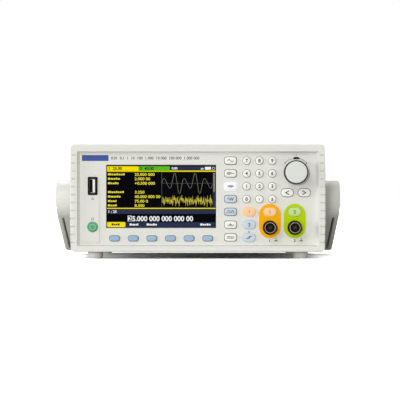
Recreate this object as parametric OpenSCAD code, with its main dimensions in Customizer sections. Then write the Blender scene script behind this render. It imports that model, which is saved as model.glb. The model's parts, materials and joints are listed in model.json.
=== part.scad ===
// Bench function generator: a half-rack instrument with a swinging carry handle.
// Millimetres. The front faces -Y, +X is to the right of a person in front, +Z is up.
// "Depth" is the distance behind the front face of the bezel, along +Y.

/* [Case] */
// Width of the front bezel and the rear bumper
bezel_w = 214.5; // [205:0.5:230]
// Height of the front bezel and the rear bumper
bezel_h = 91; // [88:0.5:100]
// Depth of the front bezel, front to back
bezel_depth = 18; // [15:0.5:24]
// How far each side of the bezel bows outward at mid height
bezel_bow = 0.9; // [0.4:0.1:1.4]
// Radius of the bezel's corners, seen from the front
bezel_corner_r = 3.2; // [2:0.1:5]
// Radius of the bezel's front edges
bezel_edge_r = 1.4; // [0.6:0.1:2]
// Length from the front of the bezel to the back of the rear bumper
body_len = 283; // [270:1:320]
// Depth of the rear bumper, front to back
bumper_depth = 20; // [18:0.5:26]
// Step from the side of the bezel in to the side of the cover
cover_step_side = 2.25; // [1.5:0.05:3]
// Step from the top or bottom of the bezel in to the cover
cover_step_top = 2.5; // [1.5:0.05:3]
// Wall of the case cover
cover_wall = 1.5; // [1:0.1:2]
// Outside radius of the cover's top corners
cover_corner_r = 4; // [3:0.5:6]
// Sheet thickness of the chassis tray
tray_t = 1.4; // [1:0.1:2]
// Height of the chassis tray's sides above its base
tray_side_h = 24; // [18:1:30]
// Height of the bezel above the surface that the feet stand on
foot_gap = 6; // [5:0.5:10]
// Radius of a foot where it meets the case
foot_r = 7.2; // [5:0.1:9]
// Radius of a foot's lower edge
foot_edge_r = 1.2; // [0.8:0.1:1.6]
// Distance from the side of the cover in to the middle of a foot
foot_inset = 17.5; // [14:0.5:24]
// Depth of the front feet
front_foot_depth = 27; // [27:0.5:34]
// Distance from the back of the rear bumper to the rear feet
rear_foot_inset = 36; // [33:0.5:38]
// Height of the case screws above the base of the case
screw_rise = 14; // [10:0.5:18]
// Distance from the front feet back to the front case screws
front_screw_back = 12; // [8:0.5:16]
// Distance from the rear feet forward to the rear case screws
rear_screw_back = 4; // [0:0.5:12]
// Clearance between pieces that are fixed to each other
seat_gap = 0.1; // [0.05:0.01:0.2]
// Overlap where two forms of one piece join
joint_lap = 0.01; // [0.01:0.01:0.02]

/* [Bezel recess] */
// Width of the bezel's frame at the sides
frame_side = 7.4; // [6.5:0.1:9]
// Height of the bezel's frame at the top and bottom
frame_top = 6.45; // [5.6:0.05:7.5]
// Depth of the recess
recess_depth = 4; // [3:0.1:5]
// How far the recess lies below the middle of the bezel
recess_drop = 0.5; // [0:0.1:1]
// Width of the slope from the bezel's face into the recess, at the sides
slope_side = 2.4; // [1.5:0.1:3]
// Height of the same slope at the top and bottom
slope_top = 1; // [0.5:0.1:2]
// Number of grip grooves on each side
groove_count = 12; // [6:1:12]
// Distance between grip grooves
groove_pitch = 6.7; // [4:0.1:7]
// Height of a grip groove
groove_h = 1; // [0.6:0.1:1.6]
// How far a grip groove reaches in from the side
groove_in = 3.8; // [2:0.1:4.2]
// How far a grip groove runs back along the side
groove_run = 12; // [8:0.5:14]
// How deep a grip groove is cut
groove_depth = 0.7; // [0.4:0.1:1]

/* [Front panel] */
// Thickness of the panel
panel_t = 2.5; // [2:0.1:3]
// How far the panel reaches behind the bezel's frame on every side
panel_lip = 1.9; // [1:0.1:2.4]
// Height of the rim behind the panel's edge
panel_rim = 1.6; // [1:0.1:2.4]
// Thickness of that rim
panel_rim_t = 1.8; // [1.2:0.1:2]
// How far the chassis frame reaches in past the panel's rim
frame_lap = 1; // [0.5:0.1:1.2]
// Distance from the left edge of the recess to the middle of the raised column
column_in = 9.1; // [8.9:0.1:9.3]
// Width of the raised column
column_w = 14.4; // [14:0.1:15]
// How far right of the raised column's middle the upright socket and the power button sit
ports_off = 1.7; // [1.3:0.1:1.9]
// Distance from the top of the recess to the top of the raised column
column_top_in = 10.45; // [8:0.05:14]
// Distance from the bottom of the recess to the foot of the raised column
column_bottom_in = 2.25; // [1.5:0.05:4]
// How far the raised column stands out at its lower end
column_rise = 1; // [0.5:0.1:1.4]
// How deep the raised column is rooted in the panel
column_root = 0.5; // [0.3:0.1:1]

/* [Display] */
// Distance from the left edge of the recess to the display window
display_in = 22.4; // [22:0.1:24]
// Distance from the top of the recess to the display window
display_top_in = 10.4; // [9:0.1:13]
// Width of the panel to the right of the display window
controls_w = 84.4; // [84:0.1:88]
// Distance from the bottom of the recess to the display window
display_bottom_in = 14.4; // [14:0.1:17]
// Thickness of the window
window_t = 1.9; // [1:0.1:2.2]
// How far the window lies below the face of the panel
window_sink = 0.5; // [0.2:0.1:0.8]
// Bevel of the panel round the display window
window_bevel = 0.4; // [0.2:0.05:0.5]
// How far the display module reaches past the window at the sides
module_side = 4; // [2:0.1:4.4]
// How far the display module reaches past the window at the top and bottom
module_top = 3.3; // [2:0.1:3.5]
// Thickness of the display module
module_t = 5; // [3:0.1:6]
// Radius of the display module's corners
module_corner_r = 1; // [0.5:0.1:2]

/* [Keys] */
// Travel of every key
key_travel = 0.8; // [0.4:0.1:1]
// How far a key stands out of the panel
key_rise = 1.8; // [1.2:0.1:2.6]
// Gap between a key and the edge of its hole
key_gap = 0.35; // [0.15:0.05:0.4]
// How far a key's flange reaches past its cap
key_flange = 1; // [0.6:0.1:1.2]
// Thickness of that flange
key_flange_t = 1; // [0.8:0.1:1.4]
// Gap between the flange and the back of the panel, and between the stem and its switch
key_float = 0.05; // [0.03:0.01:0.1]
// Length of a key's stem behind its flange
stem_len = 3; // [2:0.1:4]
// Radius of a key's stem
stem_r = 1.5; // [1:0.1:2]
// Radius of the crown on the front of a key
crown_r = 14; // [10:1:30]
// Number of soft keys
soft_count = 6; // [4:1:6]
// Distance from the side of the display to the middle of the outer soft keys
soft_end = 7.05; // [6.5:0.05:8]
// Width of a soft key as a share of the distance between soft keys
soft_share = 0.54; // [0.5:0.01:0.62]
// Height of a soft key
soft_h = 4.4; // [4:0.1:5.2]
// Distance from the bottom of the recess to the middle of the soft keys
soft_in = 5.55; // [5.3:0.05:6]
// Distance from the right edge of the recess in to the function keys
function_in = 72.15; // [71.5:0.05:73]
// Width of a function key
function_w = 10; // [8:0.1:10.5]
// Height of a function key
function_h = 6; // [5:0.1:7]
// Radius of the corners of soft and function keys
bar_corner_r = 2.2; // [1:0.1:2.4]
// Distance from the top of the recess to the top row of keys
top_in = 6.75; // [6.2:0.05:7.5]
// Distance from the bottom of the recess to the bottom row of keys
bottom_in = 6.37; // [6:0.01:7]
// Distance from the right edge of the recess in to the first column of round keys
round_in = 58.55; // [58:0.05:59]
// Distance between columns of round keys
round_pitch = 10.85; // [10.3:0.05:11]
// Radius of a round key
round_r = 3.15; // [2.6:0.05:3.4]
// Distance from the right edge of the recess in to the channel and trigger keys
oval_in = 56.35; // [56:0.05:57]
// Width of a channel or trigger key
oval_w = 10.6; // [9:0.1:11]
// Height of a channel or trigger key
oval_h = 7.1; // [6:0.1:7.5]
// How much larger the circle that bows an oval key's ends is than the key
oval_bow = 0.4; // [0.2:0.1:0.8]
// Distance between the two cursor keys
cursor_pitch = 14.4; // [13.5:0.1:15]
// Width of a cursor key
cursor_w = 10.2; // [8:0.1:10.6]
// Height of a cursor key
cursor_h = 6.7; // [5:0.1:7.2]
// Height of the cursor keys above the middle of the panel
cursor_rise = 5.2; // [5:0.1:6]
// Radius of the power button
power_r = 4.15; // [3:0.05:4.5]
// Distance from the bottom of the recess to the middle of the power button
power_in = 15.25; // [13:0.05:18]

/* [Outputs] */
// Distance from the right edge of the recess in to the first output
output_in = 38.85; // [38.5:0.05:39.5]
// Distance between the two outputs
output_pitch = 21; // [20:0.1:22]
// Width of an output surround
surround_w = 18.4; // [16:0.1:18.8]
// Height of an output surround
surround_h = 29.1; // [28:0.1:31]
// Thickness of an output surround
surround_t = 0.8; // [0.4:0.1:1]
// How far a surround's middle lies below the middle of its key and jack
surround_low = 1.05; // [0.6:0.05:1.4]
// Width of an output key
output_key_w = 10.9; // [9:0.1:12]
// Height of an output key
output_key_h = 7.3; // [6:0.1:8]
// Distance from the bottom of the recess to the output jacks
jack_in = 14.65; // [13.5:0.05:15]
// Outside radius of a bayonet jack
jack_r = 4.85; // [4.8:0.01:4.9]
// Inside radius of a bayonet jack
jack_bore_r = 4.05; // [3.9:0.01:4.1]
// How much thinner a jack is behind its panel
jack_step = 1; // [0.6:0.1:1.4]
// Radius of a jack's centre contact
contact_r = 1.1; // [0.8:0.05:1.3]
// How far the contact lies inside the jack's mouth
contact_in = 2; // [1:0.1:3]
// How far a jack stands out of its panel
jack_out = 11; // [10:0.5:12]
// Depth of a jack's mouth
jack_mouth = 8; // [6:0.5:9]
// Radius of a bayonet lug's tip from the jack's axis
lug_reach = 5.5; // [5.3:0.05:5.6]
// Radius of a bayonet lug
lug_r = 1; // [0.8:0.05:1.1]
// Distance from a jack's mouth back to its lugs
lug_back = 2.6; // [2:0.1:4]
// Length of a rear jack inside the rear panel
rear_tail = 16; // [12:0.5:20]
// Outside radius of the insulating bush round an output jack
bush_r = 6.05; // [5.6:0.05:6.4]
// How far that bush stands out of the surround
bush_rise = 1; // [0.6:0.1:2]
// Wall of the bush where it passes through the panel
bush_wall = 1.2; // [0.8:0.05:1.4]
// How far the bush reaches behind the panel
bush_back = 2; // [1:0.1:3]

/* [Knob] */
// Distance from the right edge of the recess in to the knob
knob_in = 16.95; // [16.5:0.05:17.5]
// Height of the knob above the middle of the panel
knob_rise = 22.4; // [22:0.1:24]
// Radius of the knob at its base
knob_r = 9.5; // [8:0.1:9.6]
// Gap round the knob in the panel
knob_gap = 0.7; // [0.4:0.1:0.8]
// How far the knob's skirt lies below the face of the panel
knob_sink = 1; // [0.6:0.1:1.5]
// How much narrower the knob is at its front
knob_taper = 0.35; // [0.1:0.05:0.8]
// How far the knob reaches in front of the bezel
knob_out = 12; // [10:0.5:14]
// Radius of the knob's front edge
knob_edge_r = 1.2; // [0.6:0.1:1.6]
// Wall of the knob's skirt
knob_wall = 1.6; // [1.2:0.1:2]
// Thickness of the knob's front
knob_front_t = 3; // [2.4:0.1:4]
// Wall of the boss inside the knob
knob_boss_wall = 1.8; // [1.2:0.1:2.2]
// Travel of the knob when it is pushed
knob_travel = 0.5; // [0.3:0.1:0.8]
// Radius of the encoder shaft
shaft_r = 3; // [2.5:0.1:3.2]
// Distance from the knob's front back to the end of the shaft
shaft_short = 5; // [4:0.1:7]
// Length of the shaft inside the encoder
shaft_tail = 5; // [3:0.1:5.5]
// Radial fit of the shaft in the knob's boss
shaft_fit = 0.02; // [0.01:0.01:0.03]
// Radial clearance of the shaft in its bushing
shaft_clearance = 0.05; // [0.02:0.01:0.08]
// Thickness of the plunger that the shaft pushes
plunger_t = 1.5; // [1:0.1:1.6]
// Width of the encoder
encoder_w = 12.5; // [11:0.1:14]
// Height of the encoder
encoder_h = 13.5; // [12:0.1:15]
// Radius of the encoder's corners
encoder_corner_r = 1; // [0.5:0.1:1.5]
// Gap between the pushed knob and the encoder's bushing
encoder_gap = 1.5; // [1:0.1:2]
// Length of the encoder's bushing
bushing_len = 2; // [1.5:0.1:2.5]
// Wall of the encoder's bushing
bushing_wall = 1; // [0.8:0.1:1.5]

/* [USB socket] */
// Height of the USB socket above the middle of the panel
usb_rise = 10.9; // [8:0.1:14]
// Width of the USB shell across its short side
usb_w = 5.9; // [5.7:0.1:6.1]
// Height of the USB shell along its long side
usb_h = 13; // [12.8:0.1:13.2]
// Sheet thickness of the USB shell
usb_wall = 0.4; // [0.3:0.05:0.5]
// Width of the flange round the USB shell
usb_flange = 1; // [0.6:0.1:1.2]
// Thickness of that flange
usb_flange_t = 1.3; // [1:0.1:1.4]
// How far that flange stands out of the panel
usb_out = 0.9; // [0.6:0.1:1.0]
// Thickness of the socket's back
usb_back_t = 2; // [1:0.1:3]
// Thickness of the socket's tongue
tongue_t = 1.8; // [1.4:0.1:2]
// Distance from the middle of the socket to the middle of its tongue
tongue_off = 1; // [0.8:0.1:1.2]
// How much shorter the tongue is than the space inside the shell
tongue_margin = 1.2; // [0.8:0.1:2]

/* [Handle] */
// Depth of the handle's pivots
pivot_depth = 85; // [75:1:95]
// Gap between the stowed cross bar and the rear feet
bar_foot_gap = 16.3; // [12:0.1:20]
// Radius of the handle's hubs
hub_r = 16; // [14:0.5:18]
// Radius of the end of an arm at the cross bar
arm_end_r = 9.5; // [8:0.1:11]
// Thickness of an arm from its inside to its outside
arm_t = 13.7; // [13:0.1:18]
// Gap between an arm and the widest place of the bezel
arm_gap = 1.85; // [1:0.05:3]
// How far the outer edges of an arm are drawn in
arm_edge = 2; // [1:0.1:3]
// Thickness of an arm's outer wall
arm_outer_wall = 4; // [3:0.1:5]
// Width of the channel in an arm
arm_channel_w = 2; // [1.5:0.1:4]
// Length of an arm without a channel at each end of it
channel_end = 3; // [2:0.5:6]
// Web of the arm above its channel, from the middle line of the arm
arm_web = 1; // [0:0.1:3]
// Distance from the pivot to the shallow end of the channel under the hub
channel_lead = 5; // [4:0.5:10]
// Wall between the shallow end of the channel and the recess of the pivot's screw
channel_lead_wall = 1.5; // [1:0.1:2.5]
// Height of the cross bar above the surface when it is stowed
bar_lift = 3.5; // [3:0.1:4]
// Width of the cross bar
bar_w = 19; // [15:0.5:22]
// Gap between the stowed cross bar and the case
bar_gap = 0.3; // [0.2:0.05:0.6]
// How far the cross bar reaches into each arm
bar_root = 4; // [2:0.5:8]
// Radius of a pivot pin
pivot_r = 6; // [5:0.1:7]
// Radial clearance of a pivot pin in its hub
pivot_clearance = 0.05; // [0.02:0.01:0.08]
// Length of a pivot pin inside its hub
pin_len = 9.7; // [9:0.1:12]
// Radius of a pivot's shoulder
shoulder_r = 14; // [12:0.5:15]
// Radius of the spigot of a pivot through the cover
spigot_r = 7; // [6.5:0.1:8]
// How far a spigot reaches past the cover
spigot_out = 0.5; // [0.3:0.1:1]
// Gap between the moving and the fixed faces at a pivot
face_gap = 0.3; // [0.2:0.05:0.5]
// Radius of a pivot screw's head
pivot_head_r = 8; // [7:0.1:9]
// Thickness of a pivot screw's head
pivot_head_t = 2.4; // [1.6:0.1:2.8]
// Radius of a pivot screw's shank
pivot_shank_r = 2; // [1.5:0.1:2.5]
// Width of the cross slots in the screws
slot_w = 1.1; // [0.8:0.1:1.4]
// Length of the cross slots in a pivot screw
pivot_slot_l = 5; // [4:0.1:6]
// Depth of the cross slots in the screws
slot_t = 1; // [0.6:0.1:1.2]
// Radius of the chassis tab that carries a pivot
tab_r = 24; // [18:0.5:26]

/* [Rear] */
// Thickness of the rear panel
rear_t = 2; // [1.5:0.1:2.5]
// Depth of the recess behind which the rear panel lies
rear_recess = 12; // [10:0.5:13]
// Number of rear sockets
rear_count = 5; // [2:1:5]
// Distance from the side of the main board to the outer rear sockets
rear_margin = 20; // [12:0.5:24]
// Height of the rear sockets above the middle of the panel
rear_rise = 20; // [16:0.5:22]
// Distance from the right edge of the rear recess in to the mains inlet
inlet_in = 33.85; // [32:0.05:36]
// Width of the mains inlet's body
inlet_w = 27; // [26:0.1:28]
// Height of the mains inlet's body
inlet_h = 19.8; // [19:0.1:21]
// Height of the middle of the mains inlet above the boards
inlet_rise = 12; // [12:0.5:16]
// Depth of the mains inlet behind the rear panel's face
inlet_depth = 18; // [16:0.5:20]
// Wall of the mains inlet
inlet_wall = 1.7; // [1.4:0.1:2]
// Thickness of the mains inlet's floor
inlet_floor = 4; // [3:0.1:5]
// Side of the cut corners of the mains inlet
inlet_cut = 5; // [4:0.1:6]
// Thickness of the mains inlet's flange
inlet_flange_t = 2.2; // [1.6:0.1:2.6]
// Width of the flange outside a fixing hole
inlet_ear = 4.5; // [3:0.1:5]
// Height of the flange above and below the inlet's body
inlet_brim = 1.5; // [1:0.1:2.5]
// Distance between the contacts of the mains inlet
contact_pitch = 7; // [6.5:0.1:7.5]
// Height of the earth contact above the middle of the inlet
contact_offset = 2; // [1:0.1:3]
// Width of a mains contact
contact_w = 2; // [1.6:0.1:2.4]
// Height of a mains contact
contact_h = 4; // [3.5:0.1:4.5]
// Length of a mains contact inside the inlet
contact_len = 9; // [7:0.5:10]
// Length of a terminal behind the inlet
terminal_len = 6; // [4:0.5:8]
// Thickness of a terminal
terminal_t = 0.8; // [0.6:0.1:1]
// Distance between the mains inlet's fixing holes
inlet_fixing = 40; // [39:0.1:41]
// Width of the network port
network_w = 16; // [15.5:0.1:17]
// Height of the network port
network_h = 13.5; // [13:0.1:14]
// Width of the data port
data_w = 12; // [11.6:0.1:12.6]
// Height of the data port
data_h = 10.9; // [10.6:0.1:11.4]
// How far a port stands out of the rear panel
port_out = 0.6; // [0.3:0.1:1]
// Length of the network port
network_len = 18; // [15:0.5:20]
// Wall of the network port
network_wall = 1.2; // [0.8:0.1:1.4]
// Length of the data port
data_len = 16; // [14:0.5:18]
// Wall of the data port
data_wall = 0.6; // [0.5:0.1:0.8]
// Width of the data port's tongue
data_tongue_w = 5.6; // [5:0.1:6]
// Height of the data port's tongue
data_tongue_h = 3.2; // [2.8:0.1:3.6]
// Thickness of a port's floor
port_floor = 2; // [1.5:0.1:2.5]
// Distance between the two ports
port_pitch = 24; // [18:0.5:26]
// Number of slots in each side vent
side_vent_count = 12; // [6:1:12]
// Number of slots in each base vent
base_vent_count = 8; // [4:1:8]
// Number of slots in the rear vent
rear_vent_count = 12; // [6:1:12]
// Distance between the slots of a side vent
vent_pitch = 6; // [4:0.1:6.2]
// Distance between the slots of a base vent
base_vent_pitch = 12; // [6:0.5:12]
// Distance between the slots of the rear vent
rear_vent_pitch = 4.5; // [4:0.1:4.6]
// Width of a vent slot
vent_w = 2.4; // [1.5:0.1:3]
// Length of a slot in a side vent
side_vent_l = 26; // [16:1:30]
// Height of the side vents above the middle of the case
side_vent_rise = 12; // [6:0.5:14]
// Distance from the rear bumper forward to the last slot of a side vent
side_vent_back = 14; // [8:0.5:20]
// Length of a slot in a base vent
base_vent_l = 30; // [16:1:36]
// Length of a slot in the rear vent
rear_vent_l = 22; // [14:1:24]
// Height of the rear vent above the middle of the panel
rear_vent_rise = 20; // [18:0.5:24]

/* [Inside] */
// Thickness of every circuit board
board_t = 1.6; // [1:0.1:2]
// Height of the main board above the base of the tray
board_rise = 8; // [6:0.5:10]
// Gap from the boards to each other and to the sides of the tray
board_gap = 7; // [4:0.1:9]
// Depth of the front edge of the main board
main_front = 34; // [26:1:50]
// Distance from a board's edge in to its fixings
fixing_in = 6; // [5:0.1:7]
// Length of the main board behind its rear fixings
rear_clear = 24; // [22:0.5:28]
// Width of the flanges at the back of the tray
flange_w = 8; // [5:0.5:8]
// Width of the power supply board
supply_w = 58; // [50:1:60]
// Length of the power supply board
supply_len = 150; // [120:1:155]
// Distance from the main board's back edge to the power supply's
supply_back = 22; // [18:0.5:40]
// Radius of a board standoff
standoff_r = 3; // [2.5:0.1:4]
// Radius of the hole in a board standoff
standoff_bore_r = 1.3; // [1:0.1:1.6]
// Side of a key switch
switch_w = 6; // [4.5:0.1:6.4]
// Height of a key switch
switch_h = 3.4; // [3:0.1:4]
// How much taller a key switch may be than its key
switch_margin = 1.5; // [0.5:0.1:1.5]
// How much smaller the front board is than the opening of the chassis frame
board_in = 2; // [1.5:0.1:3]
// Radius of the front board's fixing holes
board_hole_r = 1.6; // [1.2:0.1:1.8]
// Distance from the knob to the nearest fixing hole, along each side
board_hole_off = 12; // [11.5:0.1:13]
// Radius of the head of a case screw
screw_head_r = 3.4; // [2.5:0.1:4]
// Thickness of the head of a case screw
screw_head_t = 1.8; // [1.2:0.1:2.2]
// Radius of the shank of a case screw
screw_r = 1.45; // [1.2:0.05:1.6]
// Length of the cross slots in a case screw
screw_slot_l = 3.6; // [2.4:0.1:4]
// How far a case screw reaches in from the side of the tray
screw_in = 4.2; // [3:0.1:6]

/* [Board parts] */
// Side of the processor
processor_w = 27; // [20:1:30]
// Height of the processor and memory chips
chip_h = 2.2; // [1.2:0.1:3]
// Width of a memory chip
memory_w = 20; // [12:1:22]
// Length of a memory chip
memory_l = 14; // [8:1:16]
// Side of the finned cooler
cooler_w = 36; // [28:1:38]
// Height of the finned cooler
cooler_h = 18; // [12:1:24]
// Thickness of a fin and of the cooler's base
fin_t = 1.6; // [1.2:0.1:2]
// Number of fins
fin_count = 8; // [4:1:9]
// Width of the shielding can over the output stage
shield_w = 50; // [36:1:52]
// Length of that shielding can
shield_l = 44; // [30:1:46]
// Height of that shielding can
shield_h = 8; // [5:0.5:10]
// Radius of the small capacitors
small_can_r = 3.2; // [2.5:0.1:3.5]
// Height of the small capacitors
small_can_h = 7.5; // [5:0.5:10]
// Width of the block behind each rear socket
socket_block_w = 8; // [6:0.5:10]
// Length of the transformer
transformer_l = 32; // [26:1:34]
// Width of the transformer's core
transformer_w = 41; // [34:1:44]
// Height of the transformer
transformer_h = 28; // [20:1:32]
// Radius of the mains capacitor
big_can_r = 11; // [8:0.5:11]
// Height of the mains capacitor
big_can_h = 32; // [24:1:36]
// Radius of the output capacitors and the choke
mid_can_r = 6; // [4:0.5:7]
// Height of the output capacitors and the choke
mid_can_h = 20; // [14:1:24]
// Width of the heat sink
sink_w = 44; // [30:1:48]
// Thickness of the heat sink
sink_t = 3; // [2:0.5:4]
// Height of the heat sink
sink_h = 30; // [20:1:34]

/* [Hidden] */
$fn = 64;
bow_facets = 1440;
crown_facets = 96;
cut = 1;
front_y = knob_out - (knob_out + body_len) / 2;
mid_z = foot_gap + bezel_h / 2;
panel_z = mid_z - recess_drop;
recess_w = bezel_w - 2 * frame_side;
recess_h = bezel_h - 2 * frame_top;
recess_left = -recess_w / 2;
recess_right = recess_w / 2;
recess_bottom = panel_z - recess_h / 2;
recess_top = panel_z + recess_h / 2;
cover_w = bezel_w - 2 * cover_step_side;
cover_h = bezel_h - 2 * cover_step_top;
case_bottom = foot_gap + cover_step_top;
tray_w = cover_w - 2 * cover_wall - 2 * seat_gap;
tray_x = tray_w / 2;
frame_h = cover_h - cover_wall - seat_gap;
frame_corner_r = cover_corner_r - cover_wall;
panel_w = recess_w + 2 * panel_lip;
panel_h = recess_h + 2 * panel_lip;
panel_back = recess_depth + panel_t;
rim_back = panel_back + panel_rim;
cover_front = rim_back + seat_gap;
rear_face = body_len - rear_recess;
rear_inner = rear_face - rear_t;
cover_back = rear_inner - 2 * seat_gap;
bumper_front = body_len - bumper_depth;
frame_window_w = panel_w - 2 * (panel_rim_t + frame_lap);
frame_window_h = panel_h - 2 * (panel_rim_t + frame_lap);
flange_back = panel_back + key_float + key_flange_t;
stem_back = flange_back + stem_len;
switch_front = stem_back + key_travel + key_float;
board_front = switch_front + switch_h;
column_x = recess_left + column_in;
ports_x = column_x + ports_off;
column_bottom = recess_bottom + column_bottom_in;
column_top = recess_top - column_top_in;
display_w = recess_w - display_in - controls_w;
display_h = recess_h - display_top_in - display_bottom_in;
display_x = recess_left + display_in + display_w / 2;
display_z = recess_bottom + display_bottom_in + display_h / 2;
window_front = recess_depth + window_sink;
module_front = max(window_front + window_t, panel_back) + 2 * seat_gap;
soft_pitch = (display_w - 2 * soft_end) / (soft_count - 1);
soft_w = soft_share * soft_pitch;
function_x = recess_right - function_in;
row_count = 7;
row_pitch = (recess_h - top_in - bottom_in) / (row_count - 1);
output_row = 4;
round_x = recess_right - round_in;
oval_x = recess_right - oval_in;
knob_x = recess_right - knob_in;
knob_z = panel_z + knob_rise;
knob_base = recess_depth + knob_sink;
output_x = recess_right - output_in;
jack_z = recess_bottom + jack_in;
neck_r = jack_r + bush_wall;
usb_z = panel_z + usb_rise;
usb_front = recess_depth - usb_out;
usb_seat = usb_front + usb_flange_t;
shaft_front = shaft_short - knob_out;
encoder_front = knob_base + knob_travel + encoder_gap;
shaft_back = encoder_front + shaft_tail;
foot_x = cover_w / 2 - foot_inset;
rear_foot_depth = body_len - rear_foot_inset;
foot_depths = [front_foot_depth, rear_foot_depth];
screw_z = case_bottom + screw_rise;
screw_depths = [front_foot_depth + front_screw_back, rear_foot_depth - rear_screw_back];
screw_seat = cover_w / 2 + seat_gap;
arm_x = bezel_w / 2 + bezel_bow + arm_gap;
arm_facets = 32;
pivot_z = panel_z;
arm_drop = pivot_z - bar_lift - arm_end_r;
bar_depth = rear_foot_depth - foot_r - bar_foot_gap - bar_w / 2;
arm_run = bar_depth - pivot_depth;
handle_len = sqrt(pow(arm_run, 2) + pow(arm_drop, 2));
arm_angle = atan2(arm_drop, arm_run);
bar_t = case_bottom - bar_gap - bar_lift;
shoulder_x = arm_x - face_gap;
pin_end = arm_x + pin_len;
head_x = pin_end + seat_gap;
board_z = case_bottom + tray_t + board_rise;
board_top = board_z + board_t;
rear_z = panel_z + rear_rise;
inlet_x = recess_right - inlet_in;
inlet_z = board_top + inlet_rise;
port_back = rear_face + port_out;
supply_x = tray_x - board_gap - supply_w / 2;
main_w = tray_w - supply_w - 3 * board_gap;
main_x = -tray_x + board_gap + main_w / 2;
main_back = rear_inner - seat_gap;
main_len = main_back - main_front;
supply_front = main_back - supply_back - supply_len;
rear_pitch = (main_w - 2 * rear_margin) / (rear_count - 1);

SOFT = [for (i = [1:soft_count]) str("soft_key_", i)];
FUNCTION = [for (i = [1:row_count]) str("function_key_", i)];
NUMBER = [
    "key_7", "key_8", "key_9",
    "key_4", "key_5", "key_6",
    "key_1", "key_2", "key_3",
    "key_0", "key_point", "key_sign"
];
OVAL = ["channel_1_key", "channel_2_key", "trigger_key"];
CURSOR = ["cursor_left_key", "cursor_right_key"];
OUTPUT = ["output_1_key", "output_2_key"];
SURROUND = ["output_1_surround", "output_2_surround"];
KEYS = concat(SOFT, FUNCTION, NUMBER, OVAL, CURSOR, OUTPUT, ["power_button"]);
OTHERS = [
    "front_bezel", "front_panel", "display_window", "display_module", "usb_socket", "front_board",
    "bnc_sockets", "socket_bushes", "control_knob", "encoder_shaft", "encoder_plunger", "encoder_body",
    "case_cover", "chassis", "rear_panel", "rear_bumper", "feet", "carry_handle", "handle_pivots",
    "pivot_screws", "case_screws", "main_board", "power_supply", "mains_inlet", "interface_ports"
];

// A key is [kind, x, z, width, height]; "round" keys use the width as their diameter.
function soft_x(i) = display_x + (i - (soft_count - 1) / 2) * soft_pitch;
function row_z(i) = recess_top - top_in - i * row_pitch;
function rear_x(i) = main_x + (i - (rear_count - 1) / 2) * rear_pitch;
function soft_key(i) = ["bar", soft_x(i), recess_bottom + soft_in, soft_w, soft_h];
function function_key(i) = ["bar", function_x, row_z(i), function_w, function_h];
function number_key(i) = ["round", round_x + (i % 3) * round_pitch, row_z(floor(i / 3)), 2 * round_r, 2 * round_r];
function oval_key(i) = ["oval", oval_x, row_z(output_row + i), oval_w, oval_h];
function cursor_key(i) = ["oval", knob_x + (i - 0.5) * cursor_pitch, panel_z + cursor_rise, cursor_w, cursor_h];
function output_key(i) = ["oval", output_x + i * output_pitch, row_z(output_row), output_key_w, output_key_h];
POWER = ["round", ports_x, recess_bottom + power_in, 2 * power_r, 2 * power_r];
ALL_KEYS = concat(
    [for (i = [0:soft_count - 1]) soft_key(i)],
    [for (i = [0:row_count - 1]) function_key(i)],
    [for (i = [0:11]) number_key(i)],
    [for (i = [0:2]) oval_key(i)],
    [for (i = [0:1]) cursor_key(i)],
    [for (i = [0:1]) output_key(i)],
    [POWER]
);

// 2D outlines, drawn with X to the right and Z up.
module rounded(w, h, r) {
    union() {
        square([w - 2 * r, h], center = true);
        square([w, h - 2 * r], center = true);
        for (x = [-1, 1], z = [-1, 1]) translate([x * (w / 2 - r), z * (h / 2 - r)]) circle(r = r);
    }
}

module bowed(w, h, r, bow) {
    chord = h / 2 - r;
    bow_r = (pow(chord, 2) + pow(bow, 2)) / (2 * bow);
    union() {
        rounded(w, h, r);
        intersection() {
            square([w + 3 * bow, 2 * chord], center = true);
            translate([w / 2 + bow - bow_r, 0]) circle(r = bow_r, $fn = bow_facets);
            translate([bow_r - w / 2 - bow, 0]) circle(r = bow_r, $fn = bow_facets);
        }
    }
}

module key_outline(kind, w, h) {
    if (kind == "round") circle(d = w);
    if (kind == "bar") rounded(w, h, min(h / 2 - joint_lap, bar_corner_r));
    if (kind == "oval") intersection() {
        rounded(w, h, h / 2 - joint_lap);
        circle(d = w + oval_bow);
    }
}

// Placing: a slab is a 2D outline extruded backward from a depth, a post is a rod along the depth.
module slab(depth, t) {
    translate([0, front_y + depth + t, 0]) rotate([90, 0, 0]) linear_extrude(t) children();
}

module post(x, z, from, to, r) {
    translate([x, front_y + from, z]) rotate([-90, 0, 0]) cylinder(h = to - from, r = r);
}

module side_rod(side, z, depth, from, to, r) {
    translate([side * from, front_y + depth, z]) rotate([0, side * 90, 0]) cylinder(h = to - from, r = r);
}

module at(x, z) {
    translate([x, z]) children();
}

// A block with the bezel's outline whose outer edges are rounded where the depth profile says.
module soft_block(depth, length) {
    reach = length + 2 * bezel_edge_r;
    rounded_at = depth > 0 ? depth - 2 * bezel_edge_r : 0;
    intersection() {
        slab(depth, length) at(0, mid_z) bowed(bezel_w, bezel_h, bezel_corner_r, bezel_bow);
        translate([-bezel_w, front_y + rounded_at + reach / 2, mid_z]) rotate([90, 0, 90])
            linear_extrude(2 * bezel_w) rounded(reach, bezel_h, bezel_edge_r);
        translate([0, front_y + rounded_at + reach / 2, 0])
            linear_extrude(2 * bezel_h) rounded(bezel_w + 2 * bezel_bow, reach, bezel_edge_r);
    }
}

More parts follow.
